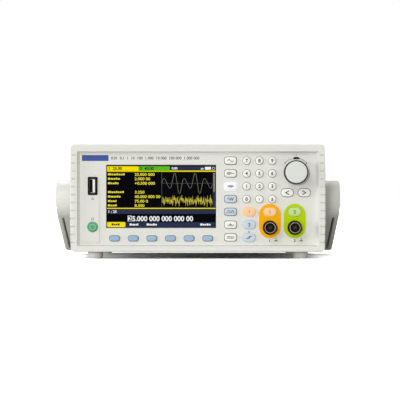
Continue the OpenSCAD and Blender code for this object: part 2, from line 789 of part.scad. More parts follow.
// The space in front of an opening that slopes from a wide mouth to the opening itself.
module sloped_mouth(x, z, w, h, side, top, from, to) {
    intersection() {
        translate([x, front_y, 0]) linear_extrude(2 * bezel_h)
            polygon([[-w / 2 - side, from - cut], [w / 2 + side, from - cut], [w / 2 + side, from], [w / 2, to],
                [-w / 2, to], [-w / 2 - side, from]]);
        translate([-bezel_w, front_y, z]) rotate([90, 0, 90]) linear_extrude(2 * bezel_w)
            polygon([[from - cut, -h / 2 - top], [from - cut, h / 2 + top], [from, h / 2 + top], [to, h / 2],
                [to, -h / 2], [from, -h / 2 - top]]);
    }
}

// Grip grooves at both ends of a face. Each runs on round the corner and along the side, to a depth inward.
module grooves(face, inward) {
    for (i = [0:groove_count - 1], side = [-1, 1]) {
        rise = (i - (groove_count - 1) / 2) * groove_pitch;
        bow_here = bezel_bow * (1 - pow(2 * rise / bezel_h, 2));
        translate([side * bezel_w / 2, front_y + face, panel_z + rise]) {
            translate([side * (bezel_bow - groove_in / 2), 0, 0])
                cube([groove_in + 2 * bezel_bow, 2 * groove_depth, groove_h], center = true);
            translate([side * (bow_here - groove_depth + cut / 2), inward * (groove_run - cut) / 2, 0])
                cube([cut, groove_run + cut, groove_h], center = true);
        }
    }
}

// The outline of the cover, square at its lower edge. It grows by gap where the cover seats in a bezel.
module case_section(gap) {
    union() {
        at(0, mid_z) rounded(cover_w + 2 * gap, cover_h + 2 * gap, cover_corner_r);
        at(0, case_bottom - gap + cover_corner_r) square([cover_w + 2 * gap, 2 * cover_corner_r], center = true);
    }
}

module front_bezel() {
    color("gainsboro") difference() {
        soft_block(0, bezel_depth);
        sloped_mouth(0, panel_z, recess_w, recess_h, slope_side, slope_top, 0, recess_depth + joint_lap);
        slab(recess_depth, rim_back - recess_depth + joint_lap)
            at(0, panel_z) square([panel_w + 2 * seat_gap, panel_h + 2 * seat_gap], center = true);
        slab(rim_back, bezel_depth) case_section(2 * seat_gap);
        grooves(0, 1);
    }
}

module front_panel() {
    color("lightgray") difference() {
        union() {
            slab(recess_depth, panel_t) at(0, panel_z) square([panel_w, panel_h], center = true);
            slab(panel_back - joint_lap, panel_rim + joint_lap) at(0, panel_z) difference() {
                square([panel_w, panel_h], center = true);
                square([panel_w - 2 * panel_rim_t, panel_h - 2 * panel_rim_t], center = true);
            }
            translate([column_x - column_w / 2, front_y + recess_depth, 0])
                rotate([90, 0, 90]) linear_extrude(column_w)
                polygon([[column_root, column_bottom], [-column_rise, column_bottom], [0, column_top],
                    [column_root, column_top]]);
        }
        for (k = ALL_KEYS)
            slab(0, rim_back) at(k[1], k[2]) key_outline(k[0], k[3] + 2 * key_gap, k[4] + 2 * key_gap);
        slab(0, rim_back) at(display_x, display_z) square([display_w, display_h], center = true);
        sloped_mouth(display_x, display_z, display_w, display_h, window_bevel, window_bevel,
            recess_depth, window_front);
        slab(0, rim_back) at(ports_x, usb_z) square([usb_w + 2 * seat_gap, usb_h + 2 * seat_gap], center = true);
        slab(0, usb_seat + seat_gap) at(ports_x, usb_z)
            square([usb_w + 2 * usb_flange + 2 * seat_gap, usb_h + 2 * usb_flange + 2 * seat_gap], center = true);
        for (i = [0:1]) post(output_x + i * output_pitch, jack_z, 0, rim_back, neck_r + seat_gap);
        post(knob_x, knob_z, 0, rim_back, knob_r + knob_gap);
    }
}

module display_window() {
    color("black") slab(window_front, window_t) at(display_x, display_z)
        square([display_w - 2 * seat_gap, display_h - 2 * seat_gap], center = true);
}

module display_module() {
    color("dimgray") slab(module_front, module_t) at(display_x, display_z)
        rounded(display_w + 2 * module_side, display_h + 2 * module_top, module_corner_r);
}

// One key: a crowned cap, a flange that stops it behind the panel and a stem for its switch.
module key(k, shade) {
    front = recess_depth - key_rise;
    color(shade) union() {
        intersection() {
            slab(front, panel_back + key_float - front + joint_lap) at(k[1], k[2]) key_outline(k[0], k[3], k[4]);
            if (k[0] == "round")
                translate([k[1], front_y + front + crown_r, k[2]]) sphere(r = crown_r, $fn = crown_facets);
            else translate([k[1] - k[3], front_y + front + crown_r, k[2]])
                rotate([0, 90, 0]) cylinder(h = 2 * k[3], r = crown_r, $fn = crown_facets);
        }
        slab(panel_back + key_float, key_flange_t) at(k[1], k[2])
            key_outline(k[0], k[3] + 2 * key_flange, k[4] + 2 * key_flange);
        post(k[1], k[2], flange_back - joint_lap, stem_back, stem_r);
    }
}

module output_surround(i, shade) {
    color(shade) difference() {
        slab(recess_depth - surround_t, surround_t)
            at(output_x + i * output_pitch, (row_z(output_row) + jack_z) / 2 - surround_low)
            rounded(surround_w, surround_h, surround_w / 2 - joint_lap);
        slab(0, bezel_depth) at(output_x + i * output_pitch, row_z(output_row))
            key_outline("oval", output_key_w + 2 * key_gap, output_key_h + 2 * key_gap);
        post(output_x + i * output_pitch, jack_z, 0, bezel_depth, neck_r + seat_gap);
    }
}

// A bayonet jack on a panel face: facing -1 points to the front, facing 1 to the back.
module bnc(x, z, face, facing, tail) {
    translate([x, front_y + face, z]) rotate([facing * -90, 0, 0]) difference() {
        union() {
            cylinder(h = jack_out, r = jack_r);
            translate([0, 0, -tail]) cylinder(h = tail + joint_lap, r = jack_r - jack_step);
            translate([0, 0, jack_out - lug_back]) rotate([90, 0, 0])
                cylinder(h = 2 * lug_reach, r = lug_r, center = true);
        }
        difference() {
            translate([0, 0, jack_out - jack_mouth]) cylinder(h = jack_mouth + cut, r = jack_bore_r);
            cylinder(h = jack_out - contact_in, r = contact_r);
        }
    }
}

module bnc_sockets() {
    color("silver") {
        for (i = [0:1]) bnc(output_x + i * output_pitch, jack_z, recess_depth, -1,
            board_front - recess_depth - seat_gap);
        for (i = [0:rear_count - 1]) bnc(rear_x(i), rear_z, rear_face, 1, rear_tail);
    }
}

module socket_bushes() {
    rim_front = recess_depth - surround_t - bush_rise;
    color("black") for (i = [0:1]) difference() {
        union() {
            post(output_x + i * output_pitch, jack_z, rim_front, rim_front + bush_rise, bush_r);
            post(output_x + i * output_pitch, jack_z, rim_front + bush_rise - joint_lap,
                panel_back + bush_back, neck_r);
        }
        post(output_x + i * output_pitch, jack_z, rim_front - cut, bezel_depth, jack_r + seat_gap / 2);
    }
}

module usb_socket() {
    inner_w = usb_w - 2 * usb_wall;
    inner_h = usb_h - 2 * usb_wall;
    color("silver") union() {
        slab(usb_front, usb_flange_t) at(ports_x, usb_z) difference() {
            square([usb_w + 2 * usb_flange, usb_h + 2 * usb_flange], center = true);
            square([inner_w, inner_h], center = true);
        }
        slab(usb_seat - joint_lap, board_front - usb_seat + joint_lap) at(ports_x, usb_z) difference() {
            square([usb_w, usb_h], center = true);
            square([inner_w, inner_h], center = true);
        }
        slab(board_front - usb_back_t, usb_back_t) at(ports_x, usb_z) square([usb_w, usb_h], center = true);
        slab(recess_depth, board_front - recess_depth) at(ports_x + tongue_off, usb_z)
            square([tongue_t, inner_h - tongue_margin], center = true);
    }
}

module front_board() {
    color("darkgreen") difference() {
        union() {
            slab(board_front, board_t) at(0, panel_z)
                square([frame_window_w - board_in, frame_window_h - board_in], center = true);
            for (k = ALL_KEYS) slab(switch_front, switch_h + joint_lap)
                at(k[1], k[2]) square([switch_w, min(switch_w, k[4] + switch_margin)], center = true);
        }
        for (side = [-1, 1]) post(side * (knob_x - board_hole_off), knob_z - board_hole_off,
            board_front - cut, board_front + board_t + cut, board_hole_r);
    }
}

// The knob turns on the shaft; the shaft pushes the plunger at the back of the encoder.
module control_knob() {
    length = knob_base + knob_out;
    tip_r = knob_r - knob_taper;
    color("whitesmoke") translate([knob_x, front_y + knob_base, knob_z]) rotate([90, 0, 0]) difference() {
        rotate_extrude() union() {
            polygon([[0, 0], [knob_r, 0], [tip_r, length - knob_edge_r], [tip_r - knob_edge_r, length - knob_edge_r],
                [tip_r - knob_edge_r, length], [0, length]]);
            translate([tip_r - knob_edge_r, length - knob_edge_r]) intersection() {
                circle(r = knob_edge_r);
                square(knob_edge_r);
            }
        }
        translate([0, 0, -cut]) difference() {
            cylinder(h = length - knob_front_t + cut, r = tip_r - knob_wall);
            cylinder(h = length, r = shaft_r + knob_boss_wall);
        }
        translate([0, 0, -cut]) cylinder(h = knob_base - shaft_front + cut + seat_gap, r = shaft_r + shaft_fit);
    }
}

module encoder_shaft() {
    color("silver") post(knob_x, knob_z, shaft_front, shaft_back, shaft_r);
}

module encoder_plunger() {
    plunger_front = shaft_back + key_float;
    color("ivory") post(knob_x, knob_z, plunger_front, plunger_front + plunger_t, shaft_r - shaft_clearance);
}

module encoder_body() {
    bore_back = shaft_back + plunger_t + knob_travel + 4 * key_float;
    color("slategray") difference() {
        union() {
            slab(encoder_front + bushing_len, board_front - encoder_front - bushing_len)
                at(knob_x, knob_z) rounded(encoder_w, encoder_h, encoder_corner_r);
            post(knob_x, knob_z, encoder_front, encoder_front + bushing_len + joint_lap, shaft_r + bushing_wall);
        }
        post(knob_x, knob_z, encoder_front - cut, bore_back, shaft_r + shaft_clearance);
    }
}

module side_vent() {
    for (i = [0:side_vent_count - 1], side = [-1, 1])
        translate([side * cover_w / 2, front_y + bumper_front - side_vent_back - i * vent_pitch,
                mid_z + side_vent_rise])
            rotate([0, 90, 0]) linear_extrude(4 * cover_wall, center = true)
            rounded(side_vent_l, vent_w, vent_w / 2 - joint_lap);
}

module case_cover() {
    inner_w = cover_w - 2 * cover_wall;
    color("gainsboro") difference() {
        slab(cover_front, cover_back - cover_front) difference() {
            case_section(0);
            at(0, mid_z - cover_wall) rounded(inner_w, cover_h, frame_corner_r);
            at(0, case_bottom) square([inner_w, 3 * cover_corner_r], center = true);
        }
        side_vent();
        for (side = [-1, 1]) side_rod(side, pivot_z, pivot_depth, tray_x, bezel_w, spigot_r + seat_gap);
        for (side = [-1, 1], d = screw_depths) side_rod(side, screw_z, d, tray_x, bezel_w, screw_r + seat_gap);
    }
}

// The plate across the front of the tray that the panel's rim rests on.
module frame_plate(depth) {
    slab(depth, tray_t) difference() {
        union() {
            at(0, case_bottom + frame_h / 2) rounded(tray_w, frame_h, frame_corner_r);
            at(0, case_bottom + frame_corner_r) square([tray_w, 2 * frame_corner_r], center = true);
        }
        at(0, panel_z) square([frame_window_w, frame_window_h], center = true);
    }
}

module base_vent(depth) {
    for (i = [0:base_vent_count - 1])
        translate([main_x + (i - (base_vent_count - 1) / 2) * base_vent_pitch, front_y + depth, case_bottom])
            linear_extrude(4 * tray_t, center = true) rounded(vent_w, base_vent_l, vent_w / 2 - joint_lap);
}

module standoff(x, depth) {
    translate([x, front_y + depth, case_bottom + tray_t - joint_lap])
        cylinder(h = board_rise + joint_lap, r = standoff_r);
}

MAIN_ROWS = [main_front + fixing_in, main_front + (main_len - rear_clear + fixing_in) / 2, main_back - rear_clear];
SUPPLY_ROWS = [supply_front + fixing_in, supply_front + supply_len - fixing_in];
MAIN_FIXINGS = [for (side = [-1, 1], d = MAIN_ROWS) [main_x + side * (main_w / 2 - fixing_in), d]];
SUPPLY_FIXINGS = [for (side = [-1, 1], d = SUPPLY_ROWS) [supply_x + side * (supply_w / 2 - fixing_in), d]];
BOARD_FIXINGS = concat(MAIN_FIXINGS, SUPPLY_FIXINGS);

module chassis() {
    tray_front = rim_back + 2 * seat_gap;
    tray_len = cover_back - tray_front;
    tab_h = pivot_z - case_bottom;
    color("darkgray") difference() {
        union() {
            translate([-tray_x, front_y + tray_front, case_bottom]) cube([tray_w, tray_len, tray_t]);
            for (side = [-1, 1]) {
                translate([side * (tray_x - tray_t / 2), front_y + tray_front + tray_len / 2,
                    case_bottom + tray_side_h / 2]) cube([tray_t, tray_len, tray_side_h], center = true);
                slab(cover_back - tray_t, tray_t) at(side * (tray_x - flange_w / 2), case_bottom + tray_side_h / 2)
                    square([flange_w, tray_side_h], center = true);
                translate([side * (tray_x - tray_t), front_y + pivot_depth, case_bottom])
                    rotate([90, 0, side * 90]) linear_extrude(tray_t) union() {
                        at(0, tab_h / 2) square([2 * tab_r, tab_h], center = true);
                        at(0, tab_h) circle(r = tab_r);
                    }
            }
            frame_plate(tray_front);
            for (f = BOARD_FIXINGS) standoff(f[0], f[1]);
        }
        for (f = BOARD_FIXINGS)
            translate([f[0], front_y + f[1], case_bottom - cut]) cylinder(h = 2 * board_rise, r = standoff_bore_r);
        for (i = [0:1]) base_vent((MAIN_ROWS[i] + MAIN_ROWS[i + 1]) / 2);
        for (side = [-1, 1])
            side_rod(side, pivot_z, pivot_depth, tray_x - 2 * tray_t, bezel_w, pivot_shank_r + seat_gap);
        for (side = [-1, 1], d = screw_depths)
            side_rod(side, screw_z, d, tray_x - 2 * tray_t, bezel_w, screw_r + seat_gap);
    }
}

module inlet_outline(grow) {
    w = inlet_w + 2 * grow;
    h = inlet_h + 2 * grow;
    c = inlet_cut;
    polygon([[-w / 2, -h / 2], [w / 2, -h / 2], [w / 2, h / 2 - c], [w / 2 - c, h / 2],
        [-w / 2 + c, h / 2], [-w / 2, h / 2 - c]]);
}

module rear_panel() {
    through = rear_t + 2 * cut;
    color("gainsboro") difference() {
        slab(rear_inner, rear_t) at(0, panel_z) square([panel_w, panel_h], center = true);
        slab(rear_inner - cut, through) at(inlet_x, inlet_z) inlet_outline(seat_gap);
        for (i = [0:rear_count - 1])
            post(rear_x(i), rear_z, rear_inner - cut, body_len, jack_r - jack_step + seat_gap);
        slab(rear_inner - cut, through) at(main_x, board_top + network_h / 2)
            square([network_w + 4 * seat_gap, network_h + 4 * seat_gap], center = true);
        slab(rear_inner - cut, through) at(main_x - port_pitch, board_top + data_h / 2)
            square([data_w + 4 * seat_gap, data_h + 4 * seat_gap], center = true);
        for (i = [0:rear_vent_count - 1]) slab(rear_inner - cut, through)
            at(inlet_x + (i - (rear_vent_count - 1) / 2) * rear_vent_pitch, panel_z + rear_vent_rise)
            rounded(vent_w, rear_vent_l, vent_w / 2 - joint_lap);
    }
}

module rear_bumper() {
    color("gainsboro") difference() {
        soft_block(bumper_front, bumper_depth);
        slab(bumper_front - cut, rear_inner - bumper_front + cut) case_section(2 * seat_gap);
        slab(rear_inner - joint_lap, rear_t + seat_gap) at(0, panel_z)
            square([panel_w + 2 * seat_gap, panel_h + 2 * seat_gap], center = true);
        slab(rear_face, body_len) at(0, panel_z) square([recess_w, recess_h], center = true);
        grooves(body_len, -1);
    }
}

module feet() {
    toe_r = foot_r - foot_edge_r;
    color("silver") for (side = [-1, 1], d = foot_depths)
        translate([side * foot_x, front_y + d, 0]) rotate_extrude() union() {
            polygon([[0, 0], [toe_r - foot_edge_r, 0], [toe_r - foot_edge_r, foot_edge_r], [toe_r, foot_edge_r],
                [foot_r, case_bottom], [0, case_bottom]]);
            translate([toe_r - foot_edge_r, foot_edge_r]) circle(r = foot_edge_r);
        }
}

// The handle: two channel-section arms, which taper from hub to bar, and a flat bar under the case.
module arm_blank(side) {
    steps = [[0, arm_t - arm_edge], [arm_edge * 0.3, arm_t - arm_edge * 0.3], [arm_edge, arm_t]];
    hull() for (end = [[0, hub_r], [handle_len, arm_end_r]], step = steps)
        translate([side * arm_x, end[0], 0]) rotate([0, side * 90, 0])
            cylinder(h = step[1], r = end[1] - step[0], $fn = arm_facets);
}

module arm(side) {
    channel_from = hub_r + channel_end;
    channel_l = handle_len - channel_end - channel_from;
    lead_top = pivot_head_r + face_gap + channel_lead_wall;
    translate([0, front_y + pivot_depth, pivot_z]) rotate([-arm_angle, 0, 0]) difference() {
        arm_blank(side);
        translate([side * (arm_x + arm_t - arm_outer_wall - arm_channel_w / 2), 0, -hub_r]) {
            translate([0, channel_from + channel_l / 2, -arm_web])
                cube([arm_channel_w, channel_l, 2 * hub_r], center = true);
            translate([0, (channel_lead + channel_from + cut) / 2, -lead_top / 2])
                cube([arm_channel_w, channel_from + cut - channel_lead, 2 * hub_r - lead_top], center = true);
        }
    }
}

module carry_handle() {
    bar_half = arm_x + bar_root;
    color("lightgray") difference() {
        union() {
            for (side = [-1, 1]) arm(side);
            translate([-bar_half, front_y + bar_depth, bar_lift + bar_t / 2]) rotate([90, 0, 90])
                linear_extrude(2 * bar_half) rounded(bar_w, bar_t, bar_t / 2 - joint_lap);
        }
        for (side = [-1, 1]) {
            side_rod(side, pivot_z, pivot_depth, arm_x - cut, arm_x + arm_t + cut, pivot_r + pivot_clearance);
            side_rod(side, pivot_z, pivot_depth, head_x - face_gap, arm_x + arm_t + cut, pivot_head_r + face_gap);
        }
    }
}

module handle_pivots() {
    color("dimgray") for (side = [-1, 1]) difference() {
        union() {
            side_rod(side, pivot_z, pivot_depth, tray_x + seat_gap / 2, cover_w / 2 + spigot_out, spigot_r);
            side_rod(side, pivot_z, pivot_depth, cover_w / 2 + seat_gap / 2, shoulder_x, shoulder_r);
            side_rod(side, pivot_z, pivot_depth, shoulder_x - joint_lap, pin_end, pivot_r);
        }
        side_rod(side, pivot_z, pivot_depth, tray_x - cut, pin_end + cut, pivot_shank_r + seat_gap / 2);
    }
}

module cross_slots(side, z, depth, face, l) {
    for (turn = [0, 90]) translate([side * face, front_y + depth, z]) rotate([turn, 0, 0])
        cube([2 * slot_t, l, slot_w], center = true);
}

module pivot_screws() {
    color("silver") for (side = [-1, 1]) difference() {
        union() {
            side_rod(side, pivot_z, pivot_depth, tray_x - 2 * tray_t, head_x + joint_lap, pivot_shank_r);
            side_rod(side, pivot_z, pivot_depth, head_x, head_x + pivot_head_t, pivot_head_r);
        }
        cross_slots(side, pivot_z, pivot_depth, head_x + pivot_head_t, pivot_slot_l);
    }
}

module case_screws() {
    color("silver") for (side = [-1, 1], d = screw_depths) difference() {
        union() {
            side_rod(side, screw_z, d, tray_x - screw_in, screw_seat + joint_lap, screw_r);
            side_rod(side, screw_z, d, screw_seat, screw_seat + screw_head_t, screw_head_r);
        }
        cross_slots(side, screw_z, d, screw_seat + screw_head_t, screw_slot_l);
    }
}

// A chip, can or coil stands on a board: block() and can() start at the board's upper face.
module block(x, depth, w, l, h) {
    translate([x - w / 2, front_y + depth - l / 2, board_top - joint_lap]) cube([w, l, h + joint_lap]);
}

module can(x, depth, r, h) {
    translate([x, front_y + depth, board_top - joint_lap]) cylinder(h = h + joint_lap, r = r);
}

module fins(x, depth) {
    block(x, depth, cooler_w, cooler_w, fin_t);
    for (i = [0:fin_count - 1])
        block(x + (i - (fin_count - 1) / 2) * (cooler_w - fin_t) / (fin_count - 1), depth, fin_t, cooler_w, cooler_h);
}

module board(x, front, w, l, fixings) {
    difference() {
        translate([x - w / 2, front_y + front, board_z + seat_gap]) cube([w, l, board_t - seat_gap]);
        for (f = fixings) translate([f[0], front_y + f[1], board_z]) cylinder(h = 2 * board_t, r = screw_r);
    }
}

// Parts stand at shares of the board's width and length from its middle.
module main_board() {
    mid = main_front + main_len / 2;
    color("seagreen") union() {
        board(main_x, main_front, main_w, main_len, MAIN_FIXINGS);
        block(main_x - 0.16 * main_w, mid - 0.26 * main_len, processor_w, processor_w, chip_h);
        fins(main_x + 0.2 * main_w, mid - 0.26 * main_len);
        block(main_x + 0.2 * main_w, mid + 0.05 * main_len, shield_w, shield_l, shield_h);
        for (i = [0, 1])
            block(main_x - 0.25 * main_w, mid + (0.12 * i - 0.02) * main_len, memory_w, memory_l, chip_h);
        for (i = [0:3]) can(main_x + (0.08 * i - 0.35) * main_w, mid - 0.4 * main_len, small_can_r, small_can_h);
        for (i = [0:rear_count - 1])
            block(rear_x(i), main_back - 2 * rear_clear, socket_block_w, socket_block_w, small_can_h);
    }
}

module power_supply() {
    mid = supply_front + supply_len / 2;
    color("olivedrab") union() {
        board(supply_x, supply_front, supply_w, supply_len, SUPPLY_FIXINGS);
        block(supply_x - 0.07 * supply_w, mid, transformer_w, 0.7 * transformer_l, 0.8 * transformer_h);
        block(supply_x - 0.07 * supply_w, mid, 0.85 * transformer_w, transformer_l, transformer_h);
        can(supply_x + 0.12 * supply_w, mid - 0.26 * supply_len, big_can_r, big_can_h);
        for (i = [0, 1]) can(supply_x - 0.24 * supply_w, mid - (0.2 + 0.12 * i) * supply_len, mid_can_r, mid_can_h);
        block(supply_x, mid + 0.22 * supply_len, sink_w, sink_t, sink_h);
        can(supply_x + 0.15 * supply_w, mid + 0.33 * supply_len, mid_can_r, mid_can_h);
    }
}

module mains_inlet() {
    contacts = [[-contact_pitch, 0], [0, contact_offset], [contact_pitch, 0]];
    floor_front = rear_face - inlet_depth;
    floor_back = floor_front + inlet_floor;
    color("black") difference() {
        union() {
            slab(rear_face + joint_lap, inlet_flange_t) at(inlet_x, inlet_z) difference() {
                rounded(inlet_fixing + 2 * inlet_ear, inlet_h + 2 * inlet_brim, inlet_brim + inlet_wall);
                for (side = [-1, 1]) at(side * inlet_fixing / 2, 0) circle(r = screw_r);
            }
            slab(floor_front, inlet_depth + 2 * joint_lap) at(inlet_x, inlet_z) inlet_outline(0);
            for (c = contacts) slab(floor_front - terminal_len, terminal_len + joint_lap)
                at(inlet_x + c[0], inlet_z + c[1]) square([contact_h, terminal_t], center = true);
        }
        difference() {
            slab(floor_back, inlet_depth) at(inlet_x, inlet_z) inlet_outline(-inlet_wall);
            for (c = contacts) slab(floor_back - cut, contact_len + cut)
                at(inlet_x + c[0], inlet_z + c[1]) square([contact_w, contact_h], center = true);
        }
    }
}

module port_shell(x, w, h, l, wall, tongue_w, tongue_h) {
    translate([x, front_y + port_back - l, board_top]) difference() {
        translate([-w / 2, 0, 0]) cube([w, l, h]);
        difference() {
            translate([-w / 2 + wall, port_floor, wall]) cube([w - 2 * wall, l, h - 2 * wall]);
            if (tongue_w > 0) translate([-tongue_w / 2, 0, (h - tongue_h) / 2])
                cube([tongue_w, l - port_floor, tongue_h]);
        }
    }
}

module interface_ports() {
    color("silver") {
        port_shell(main_x, network_w, network_h, network_len, network_wall, 0, 0);
        port_shell(main_x - port_pitch, data_w, data_h, data_len, data_wall, data_tongue_w, data_tongue_h);
    }
}

for (i = [0:soft_count - 1]) key(soft_key(i), "lightsteelblue");
for (i = [0:row_count - 1]) key(function_key(i), "white");
for (i = [0:11]) key(number_key(i), "white");
for (i = [0:2]) key(oval_key(i), i == 0 ? "orange" : "lightsteelblue");
for (i = [0:1]) key(cursor_key(i), "white");
for (i = [0:1]) key(output_key(i), i == 0 ? "orange" : "yellowgreen");
for (i = [0:1]) output_surround(i, i == 0 ? "orange" : "yellowgreen");
key(POWER, "mediumseagreen");  // power_button
front_bezel();
front_panel();
display_window();
display_module();
usb_socket();
front_board();
bnc_sockets();
socket_bushes();
control_knob();
encoder_shaft();
encoder_plunger();
encoder_body();
case_cover();
chassis();
rear_panel();
rear_bumper();
feet();
carry_handle();
handle_pivots();
pivot_screws();
case_screws();
main_board();
power_supply();
mains_inlet();
interface_ports();
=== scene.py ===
"""Looks for the bench function generator: finishes, keys, printed marks, screen, camera and stage.

Lengths are metres in the part's own frame. The front faces -Y, +X is to the right of a person in
front and +Z is up. Sizes in the classes are millimetres where their names end in _mm.
"""
import json
import logging
import math
import random
from dataclasses import dataclass, field
from enum import Enum
from functools import partial
from typing import Callable, Iterable, Sequence

import bmesh
import bpy
from mathutils import Matrix, Vector
from mathutils.bvhtree import BVHTree


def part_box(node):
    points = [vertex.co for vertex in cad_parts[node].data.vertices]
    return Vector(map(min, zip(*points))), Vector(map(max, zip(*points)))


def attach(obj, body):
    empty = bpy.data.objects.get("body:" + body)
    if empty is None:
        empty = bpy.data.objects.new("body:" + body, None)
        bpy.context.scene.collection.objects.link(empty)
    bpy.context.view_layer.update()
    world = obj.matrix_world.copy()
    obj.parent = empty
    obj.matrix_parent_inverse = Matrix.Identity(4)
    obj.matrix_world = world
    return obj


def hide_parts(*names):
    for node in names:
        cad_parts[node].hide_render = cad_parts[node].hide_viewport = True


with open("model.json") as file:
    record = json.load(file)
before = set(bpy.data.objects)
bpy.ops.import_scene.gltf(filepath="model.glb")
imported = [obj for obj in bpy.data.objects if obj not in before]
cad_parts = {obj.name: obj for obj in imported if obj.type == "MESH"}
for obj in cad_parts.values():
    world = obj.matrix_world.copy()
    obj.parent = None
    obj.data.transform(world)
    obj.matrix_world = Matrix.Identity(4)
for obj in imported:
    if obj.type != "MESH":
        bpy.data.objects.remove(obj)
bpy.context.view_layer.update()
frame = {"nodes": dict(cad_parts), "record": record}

MM = 0.001
LOG = logging.getLogger("function_generator")

Point = tuple[float, float]
Line = list[Point]
Triple = tuple[float, float, float]
Socket = bpy.types.NodeSocket

# Points read from the photograph, in its own frame of 400 by 400.
IMAGE_POINTS = {
    "bezel_left": 69.9,
    "bezel_right": 325.9,
    "bezel_top": 144.2,
    "feet_bottom": 259.4,
    "handle_left": 56.3,
    "handle_right": 339.9,
    "screen_left": 106.1,
    "screen_right": 216.0,
    "knob_centre": (295.9, 172.3),
    "push_symbol": (296.3, 158.1),
    "socket_centre": (92.5, 185.9),
    "power_centre": (92.8, 226.8),
    "output_1_jack": (269.8, 227.7),
    "output_2_jack": (294.7, 227.7),
    "output_1_earth": (276.0, 239.9),
    "output_2_earth": (301.2, 239.9),
}


def mm(x: float, y: float, z: float) -> Vector:
    """Turn millimetres into a point in metres."""
    return Vector((x, y, z)) * MM


def srgb(red: int, green: int, blue: int) -> Triple:
    """Turn a colour of 0 to 255 as seen into the linear values that a shader takes.

    Args:
        red: Red as displayed.
        green: Green as displayed.
        blue: Blue as displayed.

    Returns:
        The three linear values, from 0 to 1.
    """
    def linear(level: int) -> float:
        """Undo the display curve for one channel."""
        share = level / 255
        return share / 12.92 if share <= 0.04045 else ((share + 0.055) / 1.055) ** 2.4
    return linear(red), linear(green), linear(blue)


@dataclass(frozen=True)
class Viewpoint:
    """The photograph's camera: where it stands, what it is aimed at and its lens."""

    eye: Vector
    aim: Vector
    lens_mm: float = 234.3
    sensor_mm: float = 36.0
    frame_px: int = 400
    far_m: float = 20.0

    @classmethod
    def fitted(cls) -> "Viewpoint":
        """Set the camera to fit the image points, far in front and level with the panel's middle.

        Returns:
            The viewpoint.
        """
        eye_x_mm, aim_x_mm, level_mm, away_mm = 7.4, 1.86, 50, 2200
        bezel_y_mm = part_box("front_bezel")[0].y / MM
        return cls(mm(eye_x_mm, bezel_y_mm - away_mm, level_mm), mm(aim_x_mm, bezel_y_mm, level_mm))

    def axes(self) -> Matrix:
        """Work out the camera's turn, with its top kept upright.

        Returns:
            A 3x3 matrix whose columns are the camera's right, up and back directions.
        """
        back = (self.eye - self.aim).normalized()
        right = Vector((0, 0, 1)).cross(back).normalized()
        return Matrix((right, back.cross(right), back)).transposed()

    def build(self) -> bpy.types.Object:
        """Make the camera and set it as the scene's own.

        Returns:
            The camera object.
        """
        data = bpy.data.cameras.new("photo_camera")
        data.lens = self.lens_mm
        data.sensor_width = self.sensor_mm
        data.sensor_fit = "AUTO"
        data.clip_end = self.far_m
        camera = bpy.data.objects.new("photo_camera", data)
        camera.matrix_world = Matrix.Translation(self.eye) @ self.axes().to_4x4()
        bpy.context.scene.collection.objects.link(camera)
        bpy.context.scene.camera = camera
        return camera

    def ray(self, x: float, y: float) -> Vector:
        """Give the direction from the eye through an image point.

        Args:
            x: The point's x in the photograph's frame.
            y: The point's y in the photograph's frame.

        Returns:
            A unit vector in the part's frame.
        """
        half = self.frame_px / 2
        reach = -self.frame_px * self.lens_mm / self.sensor_mm
        return (self.axes() @ Vector((x - half, half - y, reach))).normalized()

    def project(self, point: Vector) -> Point:
        """Give the image point at which a point of the part shows.

        Args:
            point: The place in the part's frame.

        Returns:
            The x and y in the photograph's frame.
        """
        local = self.axes().transposed() @ (point - self.eye)
        scale = self.frame_px * self.lens_mm / self.sensor_mm / -local.z
        return self.frame_px / 2 + local.x * scale, self.frame_px / 2 - local.y * scale

    def place(self, x: float, y: float, carrier: bpy.types.Object) -> Vector:
        """Find where the ray through an image point meets a piece.

        Args:
            x: The point's x in the photograph's frame.
            y: The point's y in the photograph's frame.
            carrier: The finished piece that carries what is placed.

        Returns:
            The place met, or the carrier's place nearest the ray where it misses.
        """
        shape = bmesh.new()
        shape.from_mesh(carrier.data)
        tree = BVHTree.FromBMesh(shape)
        shape.free()
        direction = self.ray(x, y)
        hit = tree.ray_cast(self.eye, direction)[0]
        if hit is None:
            middle = sum((Vector(corner) for corner in carrier.bound_box), Vector()) / 8
            hit = tree.find_nearest(self.eye + direction * (middle - self.eye).length)[0]
        return hit


